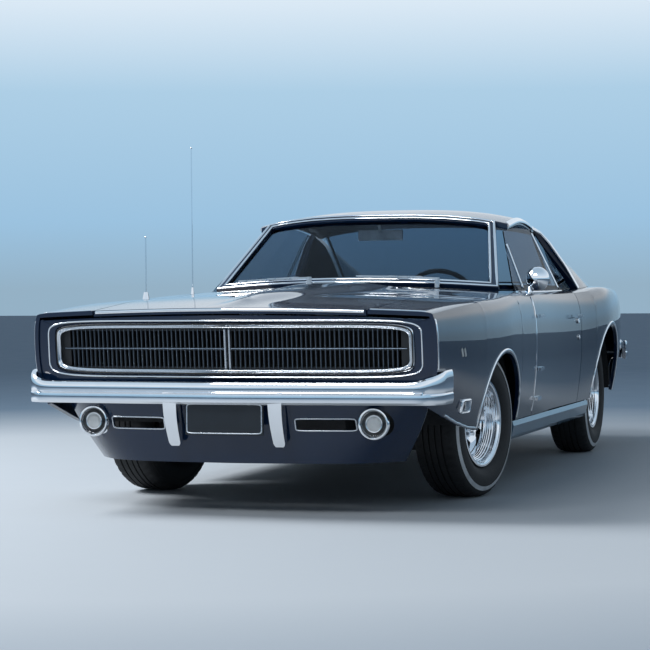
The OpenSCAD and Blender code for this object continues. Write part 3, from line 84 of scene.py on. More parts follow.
# Rounding of the edges of painted and of bright panels
PAINT_EDGE, BRIGHT_EDGE = 0.0025, 0.0012
# Step in which a fender's edge is sought, and how far in from it a strip lies
EDGE_STEP, EDGE_SET = 0.002, 0.008
AHEAD, BACK, FLAT = Vector((1, 0, 0)), Vector((-1, 0, 0)), Matrix.Identity(4)
SIDES = (("left", 1), ("right", -1))


def spread(first, last, count):
    """Values from first to last in so many even steps."""
    return [first + (last - first) * k / count for k in range(count + 1)]


# Materials

def material(name, color, metallic=0.0, rough=0.5, **more):
    m = bpy.data.materials.new(name)
    m.use_nodes = True
    shader = m.node_tree.nodes["Principled BSDF"]
    shader.inputs["Base Color"].default_value = (*color, 1)
    shader.inputs["Metallic"].default_value = metallic
    shader.inputs["Roughness"].default_value = rough
    for key, value in more.items():
        shader.inputs[key.replace("_", " ")].default_value = value
    m.diffuse_color = (*color, 1)
    return m


def set_stops(ramp, stops):
    """Gives a colour ramp its positions and colours, lowest first."""
    ends = ramp.color_ramp.elements
    for element, (position, color) in ((ends[0], stops[0]), (ends[1], stops[-1])):
        element.position, element.color = position, (*color, 1)
    for position, color in stops[1:-1]:
        ramp.color_ramp.elements.new(position).color = (*color, 1)


class Net:
    """Short forms for a material's nodes."""

    def __init__(self, m):
        self.tree = m.node_tree
        self.shader = self.tree.nodes["Principled BSDF"]
        self.place = self.add("ShaderNodeTexCoord").outputs["Object"]

    def add(self, kind, **values):
        n = self.tree.nodes.new(kind)
        for key, value in values.items():
            setattr(n, key, value)
        return n

    def link(self, a, b):
        self.tree.links.new(a, b)

    def texture(self, n, output, **values):
        for key, value in values.items():
            n.inputs[key].default_value = value
        self.link(self.place, n.inputs["Vector"])
        return n.outputs[output]

    def noise(self, scale, detail):
        return self.texture(self.add("ShaderNodeTexNoise"), "Fac", Scale=scale, Detail=detail)

    def voronoi(self, scale):
        return self.texture(self.add("ShaderNodeTexVoronoi"), "Distance", Scale=scale)

    def wave(self, scale, direction):
        return self.texture(self.add("ShaderNodeTexWave", bands_direction=direction), "Fac", Scale=scale)

    def ramp(self, source, stops):
        n = self.add("ShaderNodeValToRGB")
        set_stops(n, stops)
        self.link(source, n.inputs["Fac"])
        return n.outputs["Color"]

    def math(self, operation, a, b=None):
        n = self.add("ShaderNodeMath", operation=operation)
        for value, socket in ((a, n.inputs[0]), (b, n.inputs[1])):
            if value is None:
                continue
            if isinstance(value, (int, float)):
                socket.default_value = value
            else:
                self.link(value, socket)
        return n.outputs["Value"]

    def span(self, source, low, high):
        n = self.add("ShaderNodeMapRange")
        n.inputs["To Min"].default_value = low
        n.inputs["To Max"].default_value = high
        self.link(source, n.inputs["Value"])
        return n.outputs["Result"]

    def across(self):
        n = self.add("ShaderNodeSeparateXYZ")
        self.link(self.place, n.inputs["Vector"])
        return n.outputs["X"], n.outputs["Y"]

    def color(self, socket):
        self.link(socket, self.shader.inputs["Base Color"])

    def rough(self, socket):
        self.link(socket, self.shader.inputs["Roughness"])

    def bump(self, *layers):
        normal = None
        for height, strength, distance in layers:
            n = self.add("ShaderNodeBump")
            n.inputs["Strength"].default_value = strength
            n.inputs["Distance"].default_value = distance
            self.link(height, n.inputs["Height"])
            if normal:
                self.link(normal, n.inputs["Normal"])
            normal = n.outputs["Normal"]
        self.link(normal, self.shader.inputs["Normal"])


def shade(c, f):
    return tuple(min(1.0, v * f) for v in c)


def paint_material(name, base):
    m = material(name, base, rough=0.35, Specular_IOR_Level=0.05, Coat_Weight=1.0, Coat_IOR=1.5,
                 Coat_Roughness=0.01)
    n = Net(m)
    flake = n.voronoi(1400)
    cloud = n.noise(2.2, 2)
    tone = n.ramp(n.math("ADD", n.math("MULTIPLY", flake, 0.25), n.math("MULTIPLY", cloud, 0.75)),
                  [(0.25, shade(base, 0.82)), (0.55, base), (0.85, shade(base, 1.25))])
    n.color(tone)
    n.rough(n.span(flake, 0.24, 0.38))
    n.bump((n.noise(420, 2), 0.02, 0.0004), (flake, 0.015, 0.0003))
    return m


def chrome_material(name, base=(0.86, 0.875, 0.90), rough=0.05):
    m = material(name, base, metallic=1.0, rough=rough)
    n = Net(m)
    n.rough(n.span(n.noise(38, 4), rough * 0.5, rough * 2.2))
    n.color(n.ramp(n.noise(9, 3), [(0.3, shade(base, 0.95)), (0.7, base)]))
    n.bump((n.noise(60, 2), 0.02, 0.0005))
    return m


def grained(name, base, rough, scale, depth, sheen=0.0):
    m = material(name, base, rough=rough, Sheen_Weight=sheen)
    n = Net(m)
    grain = n.voronoi(scale)
    n.color(n.ramp(n.noise(14, 4), [(0.3, shade(base, 0.8)), (0.7, shade(base, 1.15))]))
    n.rough(n.span(grain, rough * 0.85, min(1, rough * 1.2)))
    n.bump((grain, 0.35, depth), (n.noise(40, 3), 0.1, 0.001))
    return m


def glass_material(name, tint, ior):
    m = material(name, tint, rough=0.0, Transmission_Weight=1.0, IOR=ior)
    n = Net(m)
    n.rough(n.span(n.noise(24, 4), 0.0, 0.03))
    return m


def lens_material():
    m = material("lamp_glass", (0.96, 0.97, 0.97), rough=0.02, Transmission_Weight=1.0, IOR=1.45)
    n = Net(m)
    n.rough(n.span(n.noise(50, 3), 0.0, 0.06))
    n.bump((n.wave(34, "Y"), 0.05, 0.001))
    return m


def red_material():
    m = material("red_lens", (0.42, 0.012, 0.016), rough=0.12, Coat_Weight=1.0, Coat_Roughness=0.02)
    n = Net(m)
    # The lens is darker in the flutes' hollows and lighter on their ridges: painted shade and highlight on
    # the relief
    flutes = n.wave(26, "Y")
    n.color(n.ramp(flutes, [(0.0, (0.20, 0.004, 0.006)), (1.0, (0.52, 0.02, 0.024))]))
    n.bump((flutes, 0.5, 0.004), (n.wave(40, "Z"), 0.2, 0.002))
    return m


def floor_material():
    """A floor that is pale round the car and dark further off."""
    near, between, far = (0.52, 0.57, 0.62), (0.14, 0.21, 0.29), (0.06, 0.11, 0.17)
    m = material("floor", near, rough=0.65, Specular_IOR_Level=0.1)
    n = Net(m)
    dx, dy = (n.math("SUBTRACT", place, middle) for place, middle in zip(n.across(), FLOOR_MIDDLE))
    away = n.math("SQRT", n.math("ADD", n.math("MULTIPLY", dx, dx), n.math("MULTIPLY", dy, dy)))
    n.color(n.ramp(n.math("DIVIDE", away, FLOOR_HALF / 2), [(0.13, near), (0.24, between), (0.50, far)]))
    n.rough(n.span(n.noise(3, 5), 0.58, 0.72))
    return m


NAVY = (0.004, 0.017, 0.050)
# A lighter steel blue for the sills: a painted reflection of the pale floor, on a copy of the navy paint
STEEL_REFLECTION = (0.150, 0.260, 0.360)
paint = paint_material("paint", NAVY)
paint_painted_reflection = paint_material("paint_painted_reflection", STEEL_REFLECTION)
chrome = chrome_material("chrome")
satin = chrome_material("satin_trim", (0.62, 0.65, 0.69), 0.22)
dull_bars = chrome_material("grille_bars", (0.16, 0.20, 0.25), 0.3)
underbody = grained("underbody", (0.018, 0.019, 0.021), 0.75, 90, 0.0012)
iron = grained("cast_iron", (0.05, 0.05, 0.052), 0.7, 160, 0.001)
steel = chrome_material("exhaust_steel", (0.42, 0.41, 0.40), 0.3)
grille_black = grained("grille_black", (0.006, 0.008, 0.011), 0.5, 900, 0.0003)
plate_black = grained("plate_black", (0.006, 0.010, 0.016), 0.35, 600, 0.0003)
plastic = grained("cabin_plastic", (0.022, 0.025, 0.030), 0.55, 520, 0.0007)
vinyl = grained("seat_vinyl", (0.026, 0.031, 0.040), 0.5, 460, 0.0008, sheen=0.1)
rubber = grained("rubber", (0.014, 0.0145, 0.016), 0.72, 300, 0.0006)
seal = grained("seal_rubber", (0.008, 0.008, 0.009), 0.6, 500, 0.0004)
white_rubber = grained("white_rubber", (0.70, 0.72, 0.74), 0.6, 400, 0.0004)
lamp_white = grained("lamp_white", (0.92, 0.93, 0.92), 0.25, 500, 0.0002)
dial_white = grained("dial_white", (0.60, 0.62, 0.62), 0.5, 500, 0.0002)
pane = glass_material("window_glass", (0.30, 0.38, 0.45), 1.04)
screen_pane = glass_material("screen_glass", (0.34, 0.41, 0.48), 1.15)
lens = lens_material()
mirror = chrome_material("mirror_glass", (0.92, 0.93, 0.94), 0.01)
red = red_material()


# Shapes

def from_bmesh(name, bm, finish, body="body", sharp=None, *, slot, replace=None):
    """Makes a piece, with its shading split at edges sharper than so many degrees. A finish may be a
    tuple of materials, by the faces' indexes."""
    bmesh.ops.recalc_face_normals(bm, faces=bm.faces)
    for f in bm.faces:
        f.smooth = True
    if sharp:
        bm.normal_update()
        for e in bm.edges:
            e.smooth = len(e.link_faces) != 2 or e.calc_face_angle(0) <= radians(sharp)
    mesh = bpy.data.meshes.new(name)
    bm.to_mesh(mesh)
    bm.free()
    for m in finish if isinstance(finish, tuple) else (finish,):
        mesh.materials.append(m)
    o = bpy.data.objects.new(name, mesh)
    scene.collection.objects.link(o)
    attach(o, body)
    if replace:
        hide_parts(replace)
    return o


def bevel(o, width):
    b = o.modifiers.new("edge", "BEVEL")
    b.width = width
    b.segments = 2
    b.limit_method = "ANGLE"
    b.angle_limit = radians(SHARP)
    b.use_clamp_overlap = True
    w = o.modifiers.new("normals", "WEIGHTED_NORMAL")
    w.keep_sharp = True


def subdivide(o, level):
    s = o.modifiers.new("smooth", "SUBSURF")
    s.levels = s.render_levels = level


body_of = {n: b for b, members in frame["record"]["behaviour"]["bodies"].items() for n in members}
slot_of = {p["node"]: p["material_slot"] for p in frame["record"]["subparts"]}


def smooth_panel(node, finish, edge):
    """The node's own grid, welded and turned back to quads, then subdivided with its hard edges kept."""
    weld, speck = 0.00002, 1e-6
    bm = bmesh.new()
    bm.from_mesh(nodes[node].data)
    bmesh.ops.remove_doubles(bm, verts=bm.verts, dist=weld)
    bmesh.ops.dissolve_degenerate(bm, edges=bm.edges, dist=speck)
    bmesh.ops.join_triangles(bm, faces=bm.faces, angle_face_threshold=radians(25),
                             angle_shape_threshold=radians(70))
    layer = bm.edges.layers.float.new("crease_edge")
    for e in bm.edges:
        if len(e.link_faces) != 2 or e.calc_face_angle(0) > radians(HARD):
            e[layer] = 1.0
    o = from_bmesh(node + "_skin", bm, finish, body_of[node], replace=node, slot=slot_of[node])
    subdivide(o, 2)
    bevel(o, edge)


# Surfaces of the solids, on which pieces are set

def tree_of(*names):
    bm = bmesh.new()
    for n in names:
        bm.from_mesh(nodes[n].data)
    return BVHTree.FromBMesh(bm)


side_skin = tree_of("fender_left", "door_left", "quarter_left")
top_skin = tree_of("hood", "fender_left", "fender_right", "cowl", "roof")
nose_skin = tree_of("hood", "fender_left", "nose_frame", "front_valance")
pillar_skin = tree_of("c_pillars")
glass_skin = tree_of("door_glass_left", "quarter_windows")
deck_skin = tree_of("door_left", "quarter_left")
fender_skin = tree_of("fender_left")


def cast(tree, start, way):
    """The point and normal where a ray meets the surface, or None."""
    place, normal, _, _ = tree.ray_cast(Vector(start), Vector(way))
    return (place, normal) if place else None


def beside(tree, x, z):
    return cast(tree, (x, FAR_Y, z), (0, -1, 0))


def above(tree, x, y):
    return cast(tree, (x, y, FAR_Z), (0, 0, -1))


def ahead_of(tree, y, z):
    return cast(tree, (FAR_X, y, z), BACK)


def laid(hits):
    """The points and the normals of those casts that met the surface."""
    found = [h for h in hits if h]
    return [h[0] for h in found], [h[1] for h in found]


def flipped(points, side):
    return [Vector((p.x, p.y * side, p.z)) for p in points]


def face_x(y, z):
    """The leaning, pointed plane of the nose."""
    return NOSE_X - NOSE_V * abs(y) / HALF - NOSE_LEAN * (NOSE_H - z) / (NOSE_H - GRILLE_LOW)


def on_face(y, z, back):
    """A point set back from the nose's plane."""
    return Vector((face_x(y, z) - back, y, z))


# Strips, solids of revolution and blocks

def strip(width, height):
    """A domed section whose foot is sunk a little."""
    foot = -0.002
    return [(-width / 2, foot), (-width / 2, height * 0.4), (-width * 0.3, height * 0.85), (0, height),
            (width * 0.3, height * 0.85), (width / 2, height * 0.4), (width / 2, foot)]


def sweep_into(bm, points, normals, profile, closed=False):
    """Carries the profile along the points. One normal may serve them all."""
    count = len(points)
    if isinstance(normals, Vector):
        normals = [normals] * count
    rows = []
    for i, p in enumerate(points):
        before = points[i - 1] if i or closed else p
        after = points[(i + 1) % count] if i + 1 < count or closed else p
        along = (after - before).normalized()
        up = (normals[i] - along * normals[i].dot(along)).normalized()
        side = along.cross(up)
        rows.append([bm.verts.new(p + side * a + up * b) for a, b in profile])
    size = len(profile)
    for i in range(count if closed else count - 1):
        here, there = rows[i], rows[(i + 1) % count]
        for k in range(size):
            m = (k + 1) % size
            bm.faces.new((here[k], here[m], there[m], there[k]))
    if not closed:
        bm.faces.new(rows[0])
        bm.faces.new(list(reversed(rows[-1])))


def sweep(name, points, normals, profile, finish=chrome, body="body", closed=False, slot="chrome"):
    bm = bmesh.new()
    sweep_into(bm, points, normals, profile, closed)
    from_bmesh(name, bm, finish, body, SHARP_STRIP, slot=slot)


def both_sides(name, points, normals, profile, finish=chrome, closed=False, slot="chrome"):
    """A strip on the body's left side, and its mirror image on the right."""
    for side_name, side in SIDES:
        sweep(name + side_name, flipped(points, side), flipped(normals, side), profile, finish,
              closed=closed, slot=slot)


def on_axis(origin, axis):
    turn = Vector((0, 0, 1)).rotation_difference(Vector(axis)).to_matrix().to_4x4()
    return Matrix.Translation(Vector(origin)) @ turn


def lathe_into(bm, profile, place, steps, marks=None, ripple=None):
    """Turns (radius, height) points about the place's Z. marks gives a material per stretch,
    and ripple a change of radius by point and step."""
    rings = []
    for j, (r, h) in enumerate(profile):
        if r < 1e-6:
            rings.append([bm.verts.new(place @ Vector((0, 0, h)))])
            continue
        ring = []
        for k in range(steps):
            a = 2 * pi * k / steps
            q = r + (ripple(j, k) if ripple else 0)
            ring.append(bm.verts.new(place @ Vector((q * cos(a), q * sin(a), h))))
        rings.append(ring)
    for j in range(len(profile) - 1):
        low, high = rings[j], rings[j + 1]
        for k in range(steps):
            m = (k + 1) % steps
            if len(low) == 1:
                f = bm.faces.new((low[0], high[m], high[k]))
            elif len(high) == 1:
                f = bm.faces.new((low[k], low[m], high[0]))
            else:
                f = bm.faces.new((low[k], low[m], high[m], high[k]))
            f.material_index = marks[j] if marks else 0


def lathe(name, profile, place, finish, body, steps, sharp=SHARP, slot="chrome"):
    bm = bmesh.new()
    lathe_into(bm, profile, place, steps)
    from_bmesh(name, bm, finish, body, sharp, slot=slot)


def block_into(bm, low, high, place=FLAT):
    corners = [bm.verts.new(place @ Vector((x, y, z)))
               for x in (low[0], high[0]) for y in (low[1], high[1]) for z in (low[2], high[2])]
    for face in ((0, 1, 3, 2), (4, 6, 7, 5), (0, 4, 5, 1), (2, 3, 7, 6), (0, 2, 6, 4), (1, 5, 7, 3)):
        bm.faces.new([corners[k] for k in face])


def blocks(name, boxes, finish, edge, slot):
    """Several rounded blocks as one piece. A box is its low corner, its high corner and any place."""
    bm = bmesh.new()
    for box in boxes:
        block_into(bm, *box)
    bevel(from_bmesh(name, bm, finish, sharp=SHARP, slot=slot), edge)


def squarish(w, h, count=96, power=0.25):
    """Points round a rectangle with round corners."""
    out = []
    for k in range(count):
        c, s = cos(2 * pi * k / count), sin(2 * pi * k / count)
        out.append((w * (1 if c > 0 else -1) * abs(c) ** power, h * (1 if s > 0 else -1) * abs(s) ** power))
    return out


def border(u, low, high):
    """Points round a pane, as shares across and up."""
    across, up = spread(-u, u, 20), spread(low, high, 10)
    loop = [(a, low) for a in across[:-1]] + [(u, b) for b in up[:-1]]
    return loop + [(a, high) for a in across[:0:-1]] + [(-u, b) for b in up[:0:-1]]


# Painted panels and bumpers keep the solids' grids, made smooth

for name in ("fender_left", "fender_right", "quarter_left", "quarter_right", "hood", "trunk_lid", "roof",
             "door_left", "door_right", "cowl", "rear_deck", "tail_panel", "windscreen_frame", "c_pillars",
             "nose_frame", "front_valance"):
    smooth_panel(name, paint, PAINT_EDGE)
for name in ("front_bumper", "rear_bumper", "grille_moulding"):
    smooth_panel(name, chrome, BRIGHT_EDGE)

finishes = {
    "floor_pan": underbody, "frame_rails": underbody, "wheelhouses_front": underbody,
    # The sills take the steel-blue copy of the paint, a painted reflection of the floor
    "wheelhouses_rear": underbody, "hinge_posts": underbody, "sills": paint_painted_reflection, "tail_lamps": red,
    "grille": grille_black, "side_markers": lens, "windscreen": screen_pane, "rear_window": pane,
    "quarter_windows": pane, "door_glass_left": pane, "door_glass_right": pane, "dashboard": plastic,
    "interior_mirror": dial_white, "wipers": satin, "antennas": chrome, "engine": iron,
    "front_suspension": underbody, "rear_axle": underbody, "exhaust": steel, "fuel_tank": underbody,
    "door_trim_left": chrome, "door_trim_right": chrome, "knuckle_left": iron, "knuckle_right": iron,
    "wheel_front_left": chrome, "wheel_front_right": chrome, "wheel_rear_left": chrome,
    "wheel_rear_right": chrome}
for name, finish in finishes.items():
    data = nodes[name].data
    data.materials.clear()
    data.materials.append(finish)


# Bright trim on the body

def arch_lips():
    inset = 0.010
    for axle_name, axle, rise in (("front", AXLE_F, FRONT_ARCH_H), ("rear", AXLE_R, ARCH_R)):
        hits = [beside(side_skin, axle + (ARCH_R + inset) * cos(a), HUB_Z + (rise + inset) * sin(a))
                for a in spread(radians(-4), radians(184), 48)]
        both_sides(f"arch_lip_{axle_name}_", *laid(hits), strip(0.014, 0.005))


def nose_trim():
    """A bright edge from the bumper up each fender and across the hood's lip."""
    back, drop = 0.010, 0.009
    side_y, foot_z, corner_y, inner_y, hood_hw = 0.9, 0.63, 0.86, 0.63, 0.606
    hits = [beside(side_skin, face_x(side_y, z) - back, z) for z in spread(foot_z, NOSE_H - 0.035, 12)]
    hits += [above(top_skin, face_x(y, NOSE_H) - back, y) for y in spread(corner_y, inner_y, 13)]
    both_sides("fender_edge_", *laid(hits), strip(0.013, 0.004))
    points = []
    for y in spread(-hood_hw, hood_hw, 40):
        z = above(top_skin, face_x(y, NOSE_H) - back, y)[0].z
        points.append(Vector((face_x(y, z), y, z - drop)))
    sweep("hood_lip", points, AHEAD, strip(0.012, 0.004), body="hood")


def grille_rings():
    for name, grow, section, back, finish, slot in (
            ("grille_inner_ring", -0.003, strip(0.007, 0.006), 0.014, chrome, "chrome"),
            # The groove is a flush strip of dark rubber on the frame: painted shade of a recess
            ("grille_groove_shade_strip", 0.010, strip(0.006, 0.004), 0.004, seal, "black_steel")):
        loop = squarish(GRILLE_HW + grow, GRILLE_HALF_H + grow)
        points = [on_face(y, GRILLE_MID + z, back) for y, z in loop]
        sweep(name, points, AHEAD, section, finish, closed=True, slot=slot)


def nose_ring():
    """A second bright line round the grille, on the painted frame."""
    points = []
    for y, z in squarish(GRILLE_HW + 0.050, GRILLE_HALF_H + 0.026):
        point = on_face(y, GRILLE_MID + z, 0.01)
        found = ahead_of(nose_skin, y, GRILLE_MID + z)
        if found:
            point.x = max(point.x, found[0].x)
        points.append(point)
    sweep("nose_ring", points, AHEAD, strip(0.008, 0.005), closed=True)


def grille_bars():
    """Thin metal edges on the upright bars, a bar across, and the pair of posts in the middle."""
    half_h = GRILLE_HALF_H - 0.012
    ends = (GRILLE_MID - half_h, GRILLE_MID + half_h)
    pitch = (GRILLE_HW - 0.053) / GRILLE_BARS
    back = GRILLE_SET - 0.001
    bm = bmesh.new()
    for side in (1, -1):
        for k in range(1, GRILLE_BARS):
            y = side * (0.013 + k * pitch)
            sweep_into(bm, [on_face(y, z, back) for z in ends], AHEAD, strip(0.0036, 0.004))
        points = [on_face(side * y, GRILLE_MID, back) for y in (0.012, GRILLE_HW - 0.02)]
        sweep_into(bm, points, AHEAD, strip(0.005, 0.005))
    from_bmesh("grille_bar_edges", bm, dull_bars, sharp=SHARP, slot="black_steel")
    bm = bmesh.new()
    for y in (-0.010, 0.010):
        sweep_into(bm, [on_face(y, z, GRILLE_SET - 0.002) for z in ends], AHEAD, strip(0.011, 0.010))
    from_bmesh("grille_posts", bm, satin, sharp=SHARP, slot="chrome")


def slot_rims():
    """Bright rims round the two openings of the valance."""
    valance, grow = tree_of("front_valance"), 0.004
    loop = squarish(SLOT_W / 2 + grow, SLOT_H / 2 + grow, 64, 0.2)
    for side_name, side in SIDES:
        middle = side * (SLOT_Y + SLOT_W / 2)
        points = [ahead_of(valance, middle + y, SLOT_Z + z)[0] for y, z in loop]
        sweep("slot_rim_" + side_name, points, AHEAD, strip(0.006, 0.004), satin, closed=True)


def shut_line_trim():
    """A bright strip on each fender's rear edge, beside the door."""
    low, high = 0.352, 0.917
    hits = []
    for z in spread(low, high, 24):
        tries = (DOOR_FRONT - 0.05 + EDGE_STEP * j for j in range(60))
        edge = next((x for x in tries if beside(fender_skin, x, z)), None)
        hits.append(edge and beside(fender_skin, edge + EDGE_SET, z))
    both_sides("shut_line_trim_", *laid(hits), strip(0.009, 0.003))


def fender_foot_trim():
    """A bright strip along each fender's lower edge, ahead of the wheel."""
    start, length, under = AXLE_F + ARCH_R + 0.020, 0.440, 0.25
    hits = []
    for x in spread(start, start + length, 16):
        tries = (under + EDGE_STEP * j for j in range(150))
        low = next((z for z in tries if beside(fender_skin, x, z)), None)
        hits.append(low and beside(fender_skin, x, low + EDGE_SET))
    both_sides("fender_foot_trim_", *laid(hits), strip(0.010, 0.003))


def screen_point(u, w):
    """A point on the windscreen's frame: u across, w up."""
    x, y = SCREEN_LOW_X - 0.095 * u * u, SCREEN_LOW_HW * u
    low = Vector((x, y, above(top_skin, x + 0.012, y * 0.99)[0].z + 0.004))
    x, y = SCREEN_TOP_X - 0.034 * u * u, SCREEN_TOP_HW * u
    top = Vector((x, y, above(top_skin, x - 0.05, y)[0].z - 0.016))
    return low.lerp(top, w)


def screen_trim():
    rise = screen_point(0, 1) - screen_point(0, 0)
    out = Vector((rise.z, 0, -rise.x)).normalized()
    frame_w, frame_u = SCREEN_FRAME / rise.length, SCREEN_FRAME / SCREEN_LOW_HW
    for name, u_in, w_in, width in (("screen_trim_outer", 0.010, 0.014, 0.012),
                                    ("screen_trim_inner", frame_u - 0.010, frame_w - 0.016, 0.011)):
        points = [screen_point(a, b) + out * (SCREEN_FRAME_DEPTH / 2)
                  for a, b in border(1 - u_in, w_in, 1 - w_in)]
        sweep(name, points, out, strip(width, 0.005), closed=True)
    points = [screen_point(a, frame_w * 1.05) + out * 0.004 for a in spread(-1, 1, 24)[1:-1]]
    sweep("screen_seal", points, out, strip(0.014, 0.003), seal, slot="black_steel")


def rear_screen_trim():
    """A bright frame on the border of the rear window."""
    skin = tree_of("rear_window")
    hits = []
    for u, w in border(0.98, 0.025, 0.975):
        low, top = REAR_LOW_X + REAR_LOW_BOW * u * u, REAR_TOP_X + REAR_TOP_BOW * u * u
        half_w = REAR_LOW_HW * (1 - w) + REAR_TOP_HW * w
        hits.append(above(skin, low * (1 - w) + top * w, u * half_w))
    sweep("rear_screen_trim", *laid(hits), strip(0.014, 0.005), closed=True)


def drip_rails():
    """Gutters along the roof's edge that run on down the rear pillar's leading edge."""
    rail = []
    for x in spread(0.115, QUARTER_TOP + 0.02, 16):
        y = ROOF_HW + (ROOF_REAR_HW - ROOF_HW) * (ROOF_FRONT_X - x) / (ROOF_FRONT_X - ROOF_REAR_X)
        rail.append(above(top_skin, x, y - 0.004)[0] + Vector((0, 0.001, -0.008)))
    rail_up = [Vector((0, 0.8, 0.6))] * len(rail)
    top_z, foot_z = rail[-1].z, BELT + 0.022
    hits = []
    for t in spread(0, 1, 12)[1:]:
        x = QUARTER_TOP + (QUARTER_LOW - QUARTER_TOP) * t - 0.012
        hits.append(beside(pillar_skin, x, top_z + (foot_z - top_z) * t))
    pillar, pillar_up = laid(hits)
    both_sides("drip_rail_", rail + pillar, rail_up + pillar_up, strip(0.032, 0.010))


def glass_trim():
    """Strips of the side windows: the belt, the vent window's bar, and the edge between the panes."""
    belt_y, belt_front, belt_rear = 0.822, 0.545, -0.575
    belt, _ = laid(above(deck_skin, x, belt_y) for x in spread(belt_front, belt_rear, 20))
    lines = [("belt_trim_", belt, Vector((0, 0.25, 1)), strip(0.014, 0.006))]
    low_z, height = 0.962, 0.30
    for name, low_x, top_x in (("vent_bar_", 0.330, 0.170), ("glass_edge_", -0.578, -0.578)):
        points, _ = laid(beside(glass_skin, low_x + (top_x - low_x) * t, low_z + height * t)
                         for t in spread(0, 1, 8))
        lines.append((name, points, Vector((0, 0.9, 0.44)), strip(0.016, 0.007)))
    for side_name, side in SIDES:
        for name, points, normal, section in lines:
            sweep(name + side_name, flipped(points, side), flipped([normal], side)[0], section,
                  body="door_" + side_name)


def small_trim():
    """Bezels of the side markers, slits of the turn signals, locks and handle buttons."""
    half_l, half_h = 0.052, 0.027
    for where, x, z in MARKERS:
        hits = [beside(side_skin, x + a, z + b) for a, b in squarish(half_l, half_h, 32, 0.2)]
        both_sides(f"marker_bezel_{where}_", *laid(hits), strip(0.010, 0.010), closed=True)
    slit_top = 0.708
    for k, x in enumerate((2.175, 2.135)):
        hits = [beside(side_skin, x - 0.006 * j, slit_top - 0.011 * j) for j in range(4)]
        both_sides(f"signal_slit_{k}_", *laid(hits), strip(0.014, 0.004), dial_white, slot="clear_lens")
    for side_name, side in SIDES:
        for name, inset, z, r in (("door_lock_", 0.075, 0.690, 0.013),
                                  ("handle_button_", 0.085, 0.782, 0.017)):
            place, normal = flipped(beside(side_skin, DOOR_REAR + inset, z), side)
            button = [(r, -0.002), (r, 0.005), (r * 0.8, 0.008), (r * 0.45, 0.008), (r * 0.3, 0.005),
                      (0, 0.005)]
            lathe(name + side_name, button, on_axis(place, normal), chrome, "door_" + side_name, steps=24)


def front_plate():
    """The blank panel between the bumper guards."""
    low, high, half_w, thick, inset = 0.352, 0.492, 0.176, 0.010, 0.008
    x = max(ahead_of(nose_skin, 0, z)[0].x for z in (low, high - 0.02)) + 0.006
    panel = ((x, -half_w, low), (x + thick, half_w, high))
    blocks("front_panel", [panel], plate_black, 0.003, "black_steel")
    mid, half_h = (low + high) / 2, (high - low) / 2
    loop = squarish(half_w - inset, half_h - inset, 64, 0.12)
    points = [Vector((x + thick, y, mid + z)) for y, z in loop]
    sweep("front_panel_edge", points, AHEAD, strip(0.006, 0.004), satin, closed=True)


def cowl_slot_shade():
    """Thin dark blocks in a bowed row laid on the cowl's skin: painted shade of vent slots."""
    pitch, middle_x, bow, row_hw = 0.029, 0.845, 0.040, 0.70
    boxes = []
    for k in range(-22, 23):
        y = k * pitch
        x = middle_x + bow * (1 - (y / row_hw) ** 2)
        place = Matrix.Translation(above(top_skin, x, y)[0])
        boxes.append(((-0.034, -0.009, -0.002), (0.034, 0.009, 0.0015), place))
    blocks("cowl_slot_shade", boxes, seal, 0.001, "black_steel")


# Lamps, exhaust tips and mirror

def fog_lamps():
    x = max(v.co.x for v in nodes["fog_lamps"].data.vertices) - 0.020
    shell, bowl, glass, bulb = bmesh.new(), bmesh.new(), bmesh.new(), bmesh.new()
    r = LAMP_R
    for side in (1, -1):
        place = on_axis((x, side * LAMP_Y, LAMP_Z), AHEAD)
        lathe_into(shell, [(0, -0.070), (r * 0.5, -0.070), (r - 0.008, -0.012), (r - 0.008, 0), (r, 0),
                           (r, 0.012), (r - 0.003, 0.017), (r - 0.008, 0.018), (r - 0.011, 0.015),
                           (r - 0.011, 0.010), (r - 0.013, 0.006), (r - 0.016, 0.004)], place, steps=64)
        lathe_into(bowl, [(r - 0.014, 0.003), (r - 0.020, -0.004), (r * 0.55, -0.006), (r * 0.52, 0.003),
                          (r * 0.47, 0.003), (r * 0.38, -0.008), (0, -0.014)], place, steps=64,
                   marks=[1, 1, 1, 0, 0, 0])
        lathe_into(glass, [(r - 0.014, 0.006), (r * 0.6, 0.013), (r * 0.3, 0.0165), (0, 0.018)], place,
                   steps=64)
        lathe_into(bulb, [(r * 0.44, -0.006), (r * 0.43, 0.000), (r * 0.30, 0.006), (0, 0.009)], place,
                   steps=32)
    from_bmesh("fog_lamp_shells", shell, chrome, sharp=SHARP_STRIP, replace="fog_lamps", slot="clear_lens")
    from_bmesh("fog_lamp_bowls", bowl, (chrome, plate_black), sharp=SHARP_STRIP, slot="clear_lens")
    from_bmesh("fog_lamp_glass", glass, lens, slot="clear_lens")
    from_bmesh("fog_lamp_bulbs", bulb, lamp_white, slot="clear_lens")


def tail_bezels():
    x = min(v.co.x for v in nodes["tail_lamps"].data.vertices) + 0.006
    for side_name, side in SIDES:
        points = [Vector((x, side * TAIL_LAMP_Y + y, TAIL_LAMP_Z + z))
                  for y, z in squarish(TAIL_LAMP_W + 0.005, TAIL_LAMP_H + 0.005)]
        sweep("tail_bezel_" + side_name, points, BACK, strip(0.016, 0.010), closed=True)
        bm = bmesh.new()
        for k in (-1, 0, 1):
            y = side * TAIL_LAMP_Y + k * TAIL_LAMP_W / 2
            ends = [Vector((x - 0.006, y, TAIL_LAMP_Z + e * TAIL_LAMP_H * 0.9)) for e in (-1, 1)]
            sweep_into(bm, ends, BACK, strip(0.008, 0.004))
        from_bmesh("tail_ribs_" + side_name, bm, chrome, sharp=SHARP, slot="chrome")


def exhaust_tips():
    tip = [(0.0285, -0.10), (0.033, -0.098), (0.034, -0.004), (0.033, 0), (0.029, 0), (0.0285, -0.006),
           (0.0285, -0.10)]
    for side_name, side in SIDES:
        place = on_axis((PIPE_END, side * PIPE_Y, PIPE_Z), BACK)
        lathe("exhaust_tip_" + side_name, tip, place, chrome, "body", steps=40, slot="exhaust_steel")


